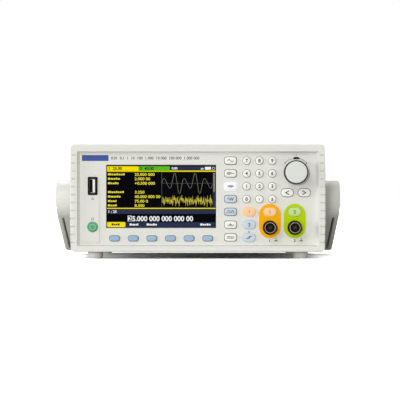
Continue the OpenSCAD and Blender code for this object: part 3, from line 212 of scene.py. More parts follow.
class Net:
    """A shader node tree that is being wired up."""

    def __init__(self, tree: bpy.types.NodeTree) -> None:
        """Take the tree that gets the nodes."""
        self.tree = tree

    @classmethod
    def group(cls, name: str, inputs: dict, outputs: dict) -> tuple["Net", bpy.types.Node, bpy.types.Node]:
        """Open a new node group with its sockets.

        Args:
            name: The group's name.
            inputs: Each input's socket type and default value, by its name.
            outputs: Each output's socket type, by its name.

        Returns:
            The net, the group's input node and its output node.
        """
        net = cls(bpy.data.node_groups.new(name, "ShaderNodeTree"))
        for label, (kind, default) in inputs.items():
            socket = net.tree.interface.new_socket(label, in_out="INPUT", socket_type=kind)
            if default is not None:
                socket.default_value = default
        for label, kind in outputs.items():
            net.tree.interface.new_socket(label, in_out="OUTPUT", socket_type=kind)
        return net, net.tree.nodes.new("NodeGroupInput"), net.tree.nodes.new("NodeGroupOutput")

    def feed(self, node: bpy.types.Node, inputs: dict) -> None:
        """Link or set some of a node's inputs.

        Args:
            node: The node.
            inputs: A socket to link or a value to set, by the input's name or number.
        """
        for key, value in inputs.items():
            if isinstance(value, Socket):
                self.tree.links.new(value, node.inputs[key])
            else:
                node.inputs[key].default_value = value

    def add(self, kind: str, inputs: dict, **settings: object) -> bpy.types.Node:
        """Add a shader node.

        Args:
            kind: Its type, without the leading ShaderNode.
            inputs: A socket to link or a value to set, by the input's name or number.
            **settings: The node's own settings.

        Returns:
            The new node.
        """
        node = self.tree.nodes.new(f"ShaderNode{kind}")
        for name, value in settings.items():
            setattr(node, name, value)
        self.feed(node, inputs)
        return node

    def math(self, operation: str, *values: Socket | float) -> Socket:
        """Add a math node on sockets or numbers and give its result."""
        return self.add("Math", dict(enumerate(values)), operation=operation).outputs[0]

    def scaled(self, vector: Socket, share: Socket) -> Socket:
        """Add a node that scales a vector or a colour and give its result."""
        return self.add("VectorMath", {0: vector, "Scale": share}, operation="SCALE").outputs[0]

    def noise(self, vector: Socket, scale: float, detail: float) -> Socket:
        """Add a noise texture on a vector and give its value."""
        return self.add("TexNoise", {"Scale": scale, "Detail": detail, "Vector": vector}).outputs["Fac"]

    def seen_or(self, *rays: str) -> Socket:
        """Tell what the camera sees, straight or by some other ray, from the rest.

        Args:
            *rays: The Light Path outputs of the other rays.

        Returns:
            A socket that gives 1 for what is seen and 0 for the rest.
        """
        path = self.add("LightPath", {})
        seen = path.outputs["Is Camera Ray"]
        for ray in rays:
            seen = self.math("MAXIMUM", seen, path.outputs[ray])
        return seen


class Grain:
    """Shader node groups that several finishes share. Each is built once, on first use.

    A noise is given as its cells in a metre and its finer layers, a socket as its type and default.
    """

    fine_noise = (1900, 3)
    broad_noise = (26, 4)
    speck_noise = (5200, 1)
    drift_noise = (60, 5)
    speck_share = 0.35
    rough_share = 0.22
    dust_colour = (176, 170, 158)
    vector = ("NodeSocketVector", None)
    colour = ("NodeSocketColor", (0.7, 0.7, 0.7, 1))

    @classmethod
    def moulded(cls) -> bpy.types.NodeTree:
        """Build or fetch the group for a grained surface, moulded, coated or plated.

        Returns:
            A group that turns a vector, a colour, a tint and a roughness into a slightly uneven
            colour and roughness, and a height for a bump.
        """
        name = "grained_surface"
        if name in bpy.data.node_groups:
            return bpy.data.node_groups[name]
        net, start, end = Net.group(
            name,
            {"Vector": cls.vector, "Colour": cls.colour, "Tint": ("NodeSocketFloat", 0.05),
             "Roughness": ("NodeSocketFloat", 0.5), "Fineness": ("NodeSocketFloat", 1.0)},
            {"Colour": "NodeSocketColor", "Roughness": "NodeSocketFloat", "Height": "NodeSocketFloat"})
        given = start.outputs
        finer = net.scaled(given["Vector"], given["Fineness"])
        fine = net.noise(finer, *cls.fine_noise)
        broad = net.noise(given["Vector"], *cls.broad_noise)
        speck = net.noise(finer, *cls.speck_noise)
        cloud = net.math("SUBTRACT", broad, 0.5)
        grit = net.math("SUBTRACT", speck, 0.5)
        both = net.math("ADD", cloud, net.math("MULTIPLY", grit, cls.speck_share))
        gain = net.math("MULTIPLY_ADD", both, given["Tint"], 1.0)
        rough = net.math("ADD", given["Roughness"], net.math("MULTIPLY", cloud, cls.rough_share))
        net.feed(end, {"Colour": net.scaled(given["Colour"], gain), "Roughness": rough, "Height": fine})
        return net.tree

    @classmethod
    def dusted(cls) -> bpy.types.NodeTree:
        """Build or fetch the group for what settles on faces that look up.

        Returns:
            A group that turns a vector, a normal, a colour and an amount into a dusted colour.
        """
        name = "settled_dust"
        if name in bpy.data.node_groups:
            return bpy.data.node_groups[name]
        net, start, end = Net.group(
            name,
            {"Vector": cls.vector, "Normal": cls.vector, "Colour": cls.colour,
             "Amount": ("NodeSocketFloat", 0.1)},
            {"Colour": "NodeSocketColor"})
        given = start.outputs
        split = net.add("SeparateXYZ", {0: given["Normal"]})
        up = net.math("MAXIMUM", split.outputs["Z"], 0.0)
        drift = net.noise(given["Vector"], *cls.drift_noise)
        patch = net.math("MULTIPLY", net.math("MULTIPLY", up, up), drift)
        share = net.math("MULTIPLY", patch, given["Amount"])
        mix = net.add("Mix", {"Factor": share, "A": given["Colour"], "B": (*srgb(*cls.dust_colour), 1)},
                      data_type="RGBA")
        net.feed(end, {"Colour": mix.outputs["Result"]})
        return net.tree


@dataclass(frozen=True)
class Finish:
    """One finish: its colour as displayed, how rough and grained it is, and what lies on it."""

    name: str
    colour: tuple[int, int, int]
    roughness: float = 0.5
    grain_mm: float = 0.02
    fineness: float = 1.0
    tint: float = 0.06
    metallic: float = 0.0
    coat: float = 0.0
    dust: float = 0.0
    glow: float = 0.0
    specular: float = 0.5
    stretch: Triple = (1.0, 1.0, 1.0)

    def material(self) -> bpy.types.Material:
        """Build or fetch the material.

        Returns:
            A material on Object coordinates with the shared grain group in it.
        """
        if self.name in bpy.data.materials:
            return bpy.data.materials[self.name]
        made = bpy.data.materials.new(self.name)
        made.use_nodes = True
        net = Net(made.node_tree)
        place = net.add("TexCoord", {})
        turn = net.add("Mapping", {"Vector": place.outputs["Object"], "Scale": self.stretch}).outputs[0]
        base = (*(level * (1 - self.glow) for level in srgb(*self.colour)), 1)
        grain = net.add("Group", {"Vector": turn, "Colour": base, "Tint": self.tint,
                                  "Fineness": self.fineness, "Roughness": self.roughness},
                        node_tree=Grain.moulded())
        colour = grain.outputs["Colour"]
        if self.dust:
            facing = net.add("NewGeometry", {}).outputs["Normal"]
            dust = net.add("Group", {"Vector": turn, "Normal": facing, "Colour": colour, "Amount": self.dust},
                           node_tree=Grain.dusted())
            colour = dust.outputs["Colour"]
        bump = net.add("Bump", {"Strength": 1.0, "Distance": self.grain_mm * MM,
                                "Height": grain.outputs["Height"]})
        shader = net.tree.nodes["Principled BSDF"]
        net.feed(shader, {"Base Color": colour, "Roughness": grain.outputs["Roughness"],
                          "Normal": bump.outputs["Normal"], "Metallic": self.metallic,
                          "Coat Weight": self.coat, "Specular IOR Level": self.specular})
        if self.glow:
            net.feed(shader, {"Emission Color": colour, "Emission Strength": self.glow / (1 - self.glow)})
        return made


class Dressing(Enum):
    """Named finishes, each with its material."""

    @property
    def material(self) -> bpy.types.Material:
        """The Blender material of this finish."""
        return self.value.material()


# Makers of finishes that differ in little more than their colour.
key_plastic = partial(Finish, roughness=0.36, grain_mm=0.006)
print_ink = partial(Finish, roughness=0.5, grain_mm=0.004)
flat_ink = partial(Finish, roughness=0.55, grain_mm=0.004)
pixel = partial(Finish, roughness=0.3, grain_mm=0.002, tint=0.02, specular=0.08, glow=0.45)


class Paint(Dressing):
    """The finishes of the record's material slots, and of the painted shade in the gaps round the keys."""

    CASING = Finish("moulded_case_grey", (229, 229, 221), 0.46, 0.018, dust=0.05)
    PANEL = Finish("moulded_panel_grey", (227, 227, 219), 0.5, 0.014)
    COVER = Finish("powder_coat_grey", (222, 222, 213), 0.58, 0.05, fineness=0.7, dust=0.12)
    HANDLE = Finish("moulded_handle_grey", (222, 222, 214), 0.5, 0.02, dust=0.08)
    FEET = Finish("moulded_foot_grey", (236, 235, 227), 0.6, 0.02)
    TRAY = Finish("plated_sheet", (186, 187, 184), 0.42, 0.008, metallic=0.85, stretch=(1, 0.15, 1))
    WINDOW = Finish("screen_black", (4, 4, 9), 0.3, 0.002, tint=0.15, specular=0.03)
    MODULE = Finish("module_black", (40, 40, 43), 0.55, 0.02)
    PALE_KEY = key_plastic("key_off_white", (245, 246, 238), coat=0.1)
    LIT_KEY = key_plastic("key_lit_white", (250, 251, 255), glow=0.35)
    ICE_KEY = key_plastic("key_ice_blue", (202, 214, 224), coat=0.15, glow=0.1)
    BLUE_KEY = key_plastic("key_soft_blue", (158, 186, 212), coat=0.15)
    ORANGE_KEY = key_plastic("key_lit_orange", (250, 206, 160), glow=0.3)
    PEACH_KEY = key_plastic("key_peach", (252, 208, 152), coat=0.2, glow=0.3)
    LIME_KEY = key_plastic("key_lime", (196, 224, 140), coat=0.2, glow=0.2)
    POWER = Finish("key_power_green", (116, 196, 152), 0.34, 0.006, coat=0.3)
    # Painted shade: the dark green ring in the gap round the power button.
    POWER_EDGE = Finish("power_gap_shade_green", (44, 104, 74), 0.5, 0.01)
    ORANGE_PLATE = Finish("plate_orange", (255, 180, 0), 0.4, 0.006, tint=0.1, specular=0.12)
    GREEN_PLATE = Finish("plate_green", (187, 213, 4), 0.4, 0.006, tint=0.1, specular=0.12)
    KNOB = Finish("knob_off_white", (222, 224, 218), 0.4, 0.01)
    # The black below is the black plastic and also the painted shade in the gaps round the function and
    # cursor keys; the two gap finishes after it are painted shade in the gaps round the other keys.
    BLACK = Finish("moulded_black_and_gap_shade", (33, 32, 31), 0.5, 0.02)
    GAP = Finish("gap_shade_grey", (96, 95, 88), 0.6, 0.02)
    SHADOW = Finish("gap_shadow_slate", (84, 92, 104), 0.6, 0.02)
    SOCKET = Finish("nickel_plate", (188, 180, 168), 0.26, 0.004, metallic=1.0)
    STEEL = Finish("zinc_plate", (198, 198, 192), 0.3, 0.006, metallic=1.0)
    BOARD = Finish("solder_mask_green", (36, 96, 60), 0.4, 0.03, fineness=0.3, tint=0.3, coat=0.3)


class Ink(Dressing):
    """What is printed on the panel and keys, or shown on the screen."""

    BLACK = flat_ink("print_black", (34, 35, 37))
    GREY = flat_ink("print_grey", (96, 98, 100))
    SOFT_GREY = flat_ink("print_soft_grey", (120, 122, 122))
    SLATE = print_ink("print_slate_blue", (62, 82, 150))
    OCHRE = print_ink("print_ochre", (206, 128, 60))
    OLIVE = print_ink("print_olive", (128, 160, 74))
    STEEL_BLUE = print_ink("print_steel_blue", (112, 138, 176))
    STANDBY = print_ink("print_deep_green", (38, 122, 84))
    YELLOW = pixel("pixel_yellow", (243, 224, 0))
    TEXT_YELLOW = pixel("pixel_text_yellow", (226, 214, 66))
    OLIVE_LINE = pixel("pixel_olive", (196, 188, 66))
    GREEN = pixel("pixel_green", (90, 184, 34))
    NAVY = pixel("pixel_navy", (40, 47, 74), glow=0.3)
    WHITE = pixel("pixel_white", (240, 242, 246), glow=0.5)
    TRACE = pixel("pixel_trace_grey", (132, 132, 108), glow=0.4)
    AXIS = pixel("pixel_axis_grey", (78, 80, 84), glow=0.4)
    DARK = pixel("pixel_dark", (20, 22, 26), glow=0.0)


class Coat(Dressing):
    """Finishes of small parts, and of painted shade and painted glow, that take their place in the record
    from a neighbour's slot.
    """

    # The insulator, and the lining over each jack's bore, which is painted shade in the bore.
    INSULATOR = Finish("insulator_and_bore_shade_brown", (44, 35, 24), 0.5, 0.01, specular=0.15)
    # Painted glow: the tongue glows a little though it is no lamp.
    TONGUE = Finish("tongue_white_painted_glow", (244, 245, 244), 0.4, 0.006, glow=0.25)
    # The black frame and sleeves, and the black block of painted shade at the back of the socket.
    FRAME = Finish("frame_and_shade_black", (20, 19, 18), 0.6, 0.01, specular=0.12)
    # Painted shade on the floors of the grip grooves.
    GROOVE = Finish("groove_shade_grey", (208, 208, 200), 0.6, 0.01)


SLOT_PAINT = {
    "casing": Paint.CASING, "panel": Paint.PANEL, "cover_paint": Paint.COVER, "handle": Paint.HANDLE,
    "feet": Paint.FEET, "tray_metal": Paint.TRAY, "window": Paint.WINDOW, "module": Paint.MODULE,
    "pale_keys": Paint.PALE_KEY, "lit_key": Paint.LIT_KEY, "ice_keys": Paint.ICE_KEY,
    "blue_keys": Paint.BLUE_KEY, "orange_key": Paint.ORANGE_KEY, "peach_key": Paint.PEACH_KEY,
    "lime_key": Paint.LIME_KEY, "power_green": Paint.POWER, "orange_plate": Paint.ORANGE_PLATE,
    "green_plate": Paint.GREEN_PLATE, "knob": Paint.KNOB, "black_plastic": Paint.BLACK,
    "socket_metal": Paint.SOCKET, "steel": Paint.STEEL, "board_green": Paint.BOARD,
}
NODE_SLOT = {row["node"]: row["material_slot"] for row in frame["record"]["subparts"]}


class Build:
    """A bmesh that is being shaped and ends as one finished piece at the origin."""

    same_place = 1e-6
    least_corner = 1e-5
    corner_merge = 3e-5
    digit_share = 0.7
    digit_weight = 0.035
    stroke_overlap = 0.6

    def __init__(self, name: str) -> None:
        """Start an empty shape.

        Args:
            name: The finished piece's name.
        """
        self.name = name
        self.solid = bmesh.new()

    def block(self, centre: Vector, size: Vector, turn: Matrix | None = None) -> list[bmesh.types.BMVert]:
        """Add a box.

        Args:
            centre: The box's middle.
            size: Its length along each axis, before it is turned.
            turn: A 4x4 turn about the middle, if any.

        Returns:
            The new vertices.
        """
        place = Matrix.Translation(centre) @ (turn or Matrix.Identity(4)) @ Matrix.Diagonal((*size, 1))
        return bmesh.ops.create_cube(self.solid, size=1, matrix=place)["verts"]

    def plate(self, x: float, z: float, width: float, height: float, corner: float, front: float, back: float,
              steps: int = 8) -> bmesh.types.BMFace:
        """Add a plate with rounded corners that faces -Y.

        Args:
            x: Middle of the plate.
            z: Middle height of the plate.
            width: Width along X.
            height: Height along Z.
            corner: Radius of its corners.
            front: Y of its front face.
            back: Y of its back face.
            steps: Segments in each rounded corner.

        Returns:
            The front face.
        """
        signs = ((-1, -1), (1, -1), (1, 1), (-1, 1))
        start = [self.solid.verts.new((x + i * width / 2, back, z + j * height / 2)) for i, j in signs]
        face = self.solid.faces.new(start)
        round_off = min(corner, width / 2 - self.least_corner, height / 2 - self.least_corner)
        if round_off > self.least_corner:
            made = bmesh.ops.bevel(self.solid, geom=start, offset=round_off, segments=steps, profile=0.5,
                                   affect="VERTICES", material=-1)
            face = max((f for v in made["verts"] for f in v.link_faces), key=lambda f: f.calc_area())
            bmesh.ops.remove_doubles(self.solid, verts=face.verts, dist=self.corner_merge)
        push = bmesh.ops.extrude_face_region(self.solid, geom=[face])["geom"]
        moved = [item for item in push if isinstance(item, bmesh.types.BMVert)]
        bmesh.ops.translate(self.solid, verts=moved, vec=(0, front - back, 0))
        return next(item for item in push if isinstance(item, bmesh.types.BMFace))

    def ring(self, x: float, z: float, width: float, height: float, corner: float, wall: float, front: float,
             back: float) -> None:
        """Add a flat frame with rounded corners that faces -Y.

        Args:
            x: Middle of the frame.
            z: Middle height of the frame.
            width: Its outside width along X.
            height: Its outside height along Z.
            corner: Radius of its outside corners.
            wall: Width of the frame itself.
            front: Y of its front face.
            back: Y of its back face.
        """
        before = set(self.solid.faces)
        lid = self.plate(x, z, width, height, corner, front, back)
        made = [face for face in self.solid.faces if face not in before]
        floor = next(face for face in made if face is not lid and len(face.verts) == len(lid.verts))
        bmesh.ops.recalc_face_normals(self.solid, faces=made)
        bmesh.ops.inset_region(self.solid, faces=[lid], thickness=wall, use_even_offset=True)
        bmesh.ops.inset_region(self.solid, faces=[floor], thickness=wall, use_even_offset=True)
        rims = lid.edges[:] + floor.edges[:]
        bmesh.ops.delete(self.solid, geom=[lid, floor], context="FACES_ONLY")
        bmesh.ops.bridge_loops(self.solid, edges=rims)

    def soften(self, edges: Sequence[bmesh.types.BMEdge], radius: float, steps: int = 4) -> None:
        """Round some edges.

        Args:
            edges: The edges to round.
            radius: How far the rounding reaches from each edge.
            steps: Segments across the rounding.
        """
        bmesh.ops.bevel(self.solid, geom=list(edges), offset=radius, segments=steps, profile=0.5,
                        affect="EDGES", material=-1)

    def turned(self, outline: Sequence[Point], x: float, z: float, steps: int = 96,
               closed: bool = False) -> None:
        """Spin an outline about an axis along Y.

        Args:
            outline: Radius and Y of each point, from one end to the other.
            x: The axis's place along X.
            z: The axis's height.
            steps: Segments round the axis.
            closed: Whether the last point joins the first, as on a ring.
        """
        corners = [self.solid.verts.new((x + radius, y, z)) for radius, y in outline]
        pairs = list(zip(corners, corners[1:])) + ([(corners[-1], corners[0])] if closed else [])
        edges = [self.solid.edges.new(pair) for pair in pairs]
        bmesh.ops.spin(self.solid, geom=corners + edges, cent=(x, 0, z), axis=(0, 1, 0), angle=2 * math.pi,
                       steps=steps, use_merge=True)

    def band(self, points: Sequence[Point], width: float, front: float, thick: float) -> None:
        """Add a flat stroke that faces -Y along a line of points.

        Args:
            points: X and Z of each point.
            width: Width of the stroke.
            front: Y of its front face.
            thick: How thick it is.
        """
        for (x0, z0), (x1, z1) in zip(points, points[1:]):
            run = math.hypot(x1 - x0, z1 - z0)
            turn = Matrix.Rotation(-math.atan2(z1 - z0, x1 - x0), 4, "Y")
            middle = Vector(((x0 + x1) / 2, front + thick / 2, (z0 + z1) / 2))
            self.block(middle, Vector((run + width * self.stroke_overlap, thick, width)), turn)

    def words(self, text: str, x: float, z: float, height: float, front: float, thick: float,
              align: str = "CENTER", stretch: float = 1.0) -> None:
        """Add characters that face -Y.

        Args:
            text: The characters.
            x: Where they are aligned.
            z: Middle height of the characters.
            height: Height of a digit.
            front: Y of their front face.
            thick: How thick they are.
            align: LEFT, CENTER or RIGHT.
            stretch: How much wider than normal they are.
        """
        curve = bpy.data.curves.new("characters", "FONT")
        curve.body = text
        curve.size = height / self.digit_share
        curve.align_x = align
        curve.extrude = thick / 2
        curve.offset = height * self.digit_weight
        holder = bpy.data.objects.new("characters", curve)
        bpy.context.scene.collection.objects.link(holder)
        mesh = bpy.data.meshes.new_from_object(holder.evaluated_get(bpy.context.evaluated_depsgraph_get()))
        lift = Matrix.Translation((x, front + thick / 2, z - height / 2))
        mesh.transform(lift @ Matrix.Rotation(math.pi / 2, 4, "X") @ Matrix.Diagonal((stretch, 1, 1, 1)))
        self.solid.from_mesh(mesh)
        bpy.data.meshes.remove(mesh)
        bpy.data.objects.remove(holder)
        bpy.data.curves.remove(curve)

    def finish(self, body: str, material: bpy.types.Material, slot: str, smooth: float | None = 35.0,
               merge: bool = True) -> bpy.types.Object:
        """Close the shape and hand it over as a piece.

        Args:
            body: The CAD body that it rides on.
            material: Its material.
            slot: The record's material slot of its finish; not used.
            smooth: The angle in degrees below which edges are shaded smooth, or None for flat faces.
            merge: Whether vertices in one place are joined first.

        Returns:
            The finished object.
        """
        if merge:
            bmesh.ops.remove_doubles(self.solid, verts=self.solid.verts, dist=self.same_place)
        bmesh.ops.recalc_face_normals(self.solid, faces=self.solid.faces)
        if smooth is not None:
            limit = math.radians(smooth)
            for face in self.solid.faces:
                face.smooth = True
            for edge in self.solid.edges:
                edge.smooth = len(edge.link_faces) == 2 and edge.calc_face_angle(math.pi) < limit
        mesh = bpy.data.meshes.new(self.name)
        self.solid.to_mesh(mesh)
        self.solid.free()
        mesh.materials.append(material)
        piece = bpy.data.objects.new(self.name, mesh)
        bpy.context.scene.collection.objects.link(piece)
        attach(piece, body)
        LOG.info("built %s on %s", piece.name, body)
        return piece


def dress_nodes() -> None:
    """Give every CAD node the finish of its slot in the record."""
    for name, node in frame["nodes"].items():
        material = SLOT_PAINT[NODE_SLOT[name]].material
        for place in node.material_slots:
            place.material = material
        LOG.info("dressed %s in %s", name, material.name)


WINDOW_LOW, WINDOW_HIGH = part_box("display_window")
PANEL_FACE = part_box("output_1_surround")[1].y
PRINT_T = 0.02 * MM


def middle(node: str) -> Point:
    """Give the X and Z of the middle of a CAD node."""
    low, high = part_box(node)
    return (low.x + high.x) / 2, (low.z + high.z) / 2


def arc(x: float, z: float, radius: float, start: float, end: float, steps: int = 24) -> Line:
    """Give points along an arc.

    Args:
        x: The arc's centre along X.
        z: The arc's centre along Z.
        radius: The arc's radius.
        start: Its first angle in degrees, from +X towards +Z.
        end: Its last angle in degrees.
        steps: How many lengths it is cut into.

    Returns:
        The points in order.
    """
    angles = [math.radians(start + (end - start) * i / steps) for i in range(steps + 1)]
    return [(x + radius * math.cos(a), z + radius * math.sin(a)) for a in angles]


def ripple(cycles: float, sweep: float = 0.0, swell: float = 0.0, steps: int = 36,
           half: float = 0.42) -> Line:
    """Give a wave across a unit box.

    Args:
        cycles: How many periods there are.
        sweep: How much the rate grows along the wave.
        swell: How much the height shrinks at the ends.
        steps: How many lengths it is cut into.
        half: Half the wave's height.

    Returns:
        The points from x -0.5 to 0.5.
    """
    shares = [i / steps for i in range(steps + 1)]
    return [(s - 0.5, half * math.sin(2 * math.pi * cycles * s * (1 + sweep * (s - 1)))
             * (1 - swell + swell * math.sin(math.pi * s))) for s in shares]


class Glyph(Enum):
    """Plain symbols for the keys and the panel, as strokes in a box one unit high."""

    SINE = (ripple(1),)
    LEVELS = ([(-0.6, 0.36), (0.1, 0.36)], [(-0.6, 0.0), (0.6, 0.0)], [(-0.6, -0.36), (-0.1, -0.36)])
    SWELL = (ripple(4, swell=0.8, steps=64),)
    SWEEP = (ripple(2.4, sweep=0.45, steps=56),)
    PULSES = ([(-0.7, -0.38), (-0.42, -0.38), (-0.42, 0.38), (-0.12, 0.38), (-0.12, -0.38), (0.2, -0.38),
               (0.2, 0.38), (0.5, 0.38), (0.5, -0.38), (0.7, -0.38)],)
    STORE = ([(-0.45, 0.0), (-0.45, -0.4), (0.45, -0.4), (0.45, 0.0)], [(0.0, 0.48), (0.0, -0.15)],
             [(-0.2, 0.05), (0.0, -0.15), (0.2, 0.05)])
    SETUP = ([(-0.6, 0.25), (0.6, 0.25)], [(-0.6, -0.25), (0.6, -0.25)], [(-0.25, 0.42), (-0.25, 0.08)],
             [(0.25, -0.08), (0.25, -0.42)])
    LEFT = ([(0.42, 0.46), (-0.42, 0.0), (0.42, -0.46)],)
    RIGHT = ([(-0.42, 0.46), (0.42, 0.0), (-0.42, -0.46)],)
    EDGE = ([(-0.6, -0.38), (0.0, -0.38), (0.0, 0.4), (0.6, 0.4)], [(-0.2, -0.08), (0.0, 0.14), (0.2, -0.08)])
    STANDBY = (arc(0, 0, 0.46, 125, 415), [(0.0, 0.55), (0.0, 0.05)])
    EARTH = ([(0.0, 0.75), (0.0, -0.2)], [(-0.55, -0.2), (0.55, -0.2)], [(-0.3, -0.42), (0.3, -0.42)])
    POINT = ([(-0.15, 0.15), (0.15, 0.15)], [(-0.2, 0.0), (0.2, 0.0)], [(-0.15, -0.15), (0.15, -0.15)])

    def draw(self, shape: Build, x: float, z: float, height: float, width: float, front: float,
             stretch: float = 1.0) -> None:
        """Add the symbol's strokes to a shape.

        Args:
            shape: The shape that gets them.
            x: Middle of the symbol.
            z: Middle height of the symbol.
            height: The symbol's height.
            width: Width of its strokes.
            front: Y of the strokes' front.
            stretch: How much wider than normal the symbol is.
        """
        for stroke in self.value:
            shape.band([(x + u * height * stretch, z + v * height) for u, v in stroke], width, front, PRINT_T)


class Form(Enum):
    """The outlines of the keys."""

    BAR = "bar"
    ROUND = "round"
    OVAL = "oval"


class Around(Enum):
    """What is painted in the gap between a key and its hole, painted shade round unlit keys and painted glow
    round lit ones: its finish, and its millimetres out from the cap.
    """

    # SHADE, SLIM, THIN and POWER are dark rings of painted shade in the gap; LIGHT, WARM and COOL are rings
    # of painted glow from the key's backlight, reaching onto the panel.
    SHADE = (Paint.BLACK, 0.42)
    SLIM = (Paint.SHADOW, 0.38)
    THIN = (Paint.GAP, 0.38)
    LIGHT = (Paint.LIT_KEY, 0.7)
    WARM = (Paint.ORANGE_KEY, 0.7)
    COOL = (Paint.ICE_KEY, 0.7)
    POWER = (Paint.POWER_EDGE, 0.55)
    NOTHING = (None, 0.0)

    @property
    def paint(self) -> Paint | None:
        """The finish of the ring painted in the gap."""
        return self.value[0]

    @property
    def reach(self) -> float:
        """How far it reaches from the cap, in metres."""
        return self.value[1] * MM

    @property
    def dark(self) -> bool:
        """Whether it is a dark ring of painted shade in the gap."""
        return self in (Around.SHADE, Around.SLIM, Around.THIN)


@dataclass
class KeyCap:
    """One key: a pillowed cap with its flange and stem, what is printed on it and a ring painted in the gap
    round it, painted shade round an unlit key and painted glow round a lit one.
    """

    node: str
    form: Form
    mark: Glyph | str | None = None
    ink: Ink = Ink.GREY
    around: Around = Around.SHADE
    mark_mm: float = 2.3
    mark_stretch: float = 1.0
    stroke_mm: float = 0.46
    bar_corner_mm: float = 2.2
    edge_mm: float = 0.5
    crown_mm: float = 0.22
    crown_steps: tuple[Point, ...] = ((0.16, 0.62), (0.16, 0.38))
    flange_mm: float = 1.0
    flange_behind_mm: float = 2.55
    flange_thick_mm: float = 1.0
    overlap_mm: float = 0.01
    stem_r_mm: float = 1.5
    stem_in_mm: float = 0.1
    stem_steps: int = 24
    collar_in_mm: float = 0.06
    collar_deep_mm: float = 0.3

    def corner(self, height: float) -> float:
        """Give the radius of the outline's corners for a height."""
        return self.bar_corner_mm * MM if self.form is Form.BAR else height / 2

    def size(self) -> Point:
        """Give the width and height of the cap, without its flange."""
        low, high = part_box(self.node)
        return (high.x - low.x) - 2 * self.flange_mm * MM, (high.z - low.z) - 2 * self.flange_mm * MM

    def cap(self) -> bpy.types.Object:
        """Model the moulding that replaces the key's CAD node.

        Returns:
            The finished cap, flange and stem.
        """
        low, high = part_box(self.node)
        x, z = middle(self.node)
        width, height = self.size()
        flange = PANEL_FACE + self.flange_behind_mm * MM
        shape = Build(f"{self.node}_cap")
        lid = shape.plate(x, z, width, height, self.corner(height), low.y + self.crown_mm * MM,
                          flange + self.overlap_mm * MM)
        rim = list(lid.edges)
        bmesh.ops.recalc_face_normals(shape.solid, faces=shape.solid.faces)
        for share, rise in self.crown_steps:
            bmesh.ops.inset_region(shape.solid, faces=[lid], thickness=share * height,
                                   depth=rise * self.crown_mm * MM, use_even_offset=True)
        shape.soften(rim, self.edge_mm * MM)
        grown = 2 * self.flange_mm * MM
        shape.plate(x, z, width + grown, height + grown, self.corner(height + grown), flange,
                    flange + self.flange_thick_mm * MM)
        stem_r, start = self.stem_r_mm * MM, flange + (self.flange_thick_mm - self.stem_in_mm) * MM
        shape.turned([(0, start), (stem_r, start), (stem_r, high.y), (0, high.y)], x, z, self.stem_steps)
        piece = shape.finish(self.node, SLOT_PAINT[NODE_SLOT[self.node]].material, NODE_SLOT[self.node])
        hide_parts(self.node)
        return piece

    def printing(self) -> bpy.types.Object | None:
        """Print the key's symbol or number.

        Returns:
            The printing, or None on a plain key.
        """
        if self.mark is None:
            return None
        x, z = middle(self.node)
        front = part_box(self.node)[0].y
        shape = Build(f"{self.node}_print")
        if isinstance(self.mark, Glyph):
            self.mark.draw(shape, x, z, self.mark_mm * MM, self.stroke_mm * MM, front, self.mark_stretch)
        else:
            shape.words(self.mark, x, z, self.mark_mm * MM, front, PRINT_T)
        return shape.finish(self.node, self.ink.material, NODE_SLOT[self.node], smooth=None)

    def collar(self) -> bpy.types.Object | None:
        """Model the thin ring painted in the gap round the key: painted shade round an unlit key, painted
        glow round a lit one.

        Returns:
            The ring on the case, or None where there is none.
        """
        if self.around is Around.NOTHING:
            return None
        x, z = middle(self.node)
        # This ring is painted light: dark for the shade in the gap round an unlit key, glowing for the halo
        # round a lit one.
        inner, outer = self.collar_in_mm * MM, self.around.reach
        width, height = (side + 2 * outer for side in self.size())
        shape = Build(f"{self.node}_collar")
        shape.ring(x, z, width, height, self.corner(height), outer - inner, PANEL_FACE - PRINT_T,
                   PANEL_FACE + self.collar_deep_mm * MM)
        slot = "black_plastic" if self.around.dark else NODE_SLOT[self.node]
        return shape.finish("case", self.around.paint.material, slot)

    def build(self) -> None:
        """Make the cap, its printing and the painted ring in its gap."""
        self.cap()
        self.printing()
        self.collar()


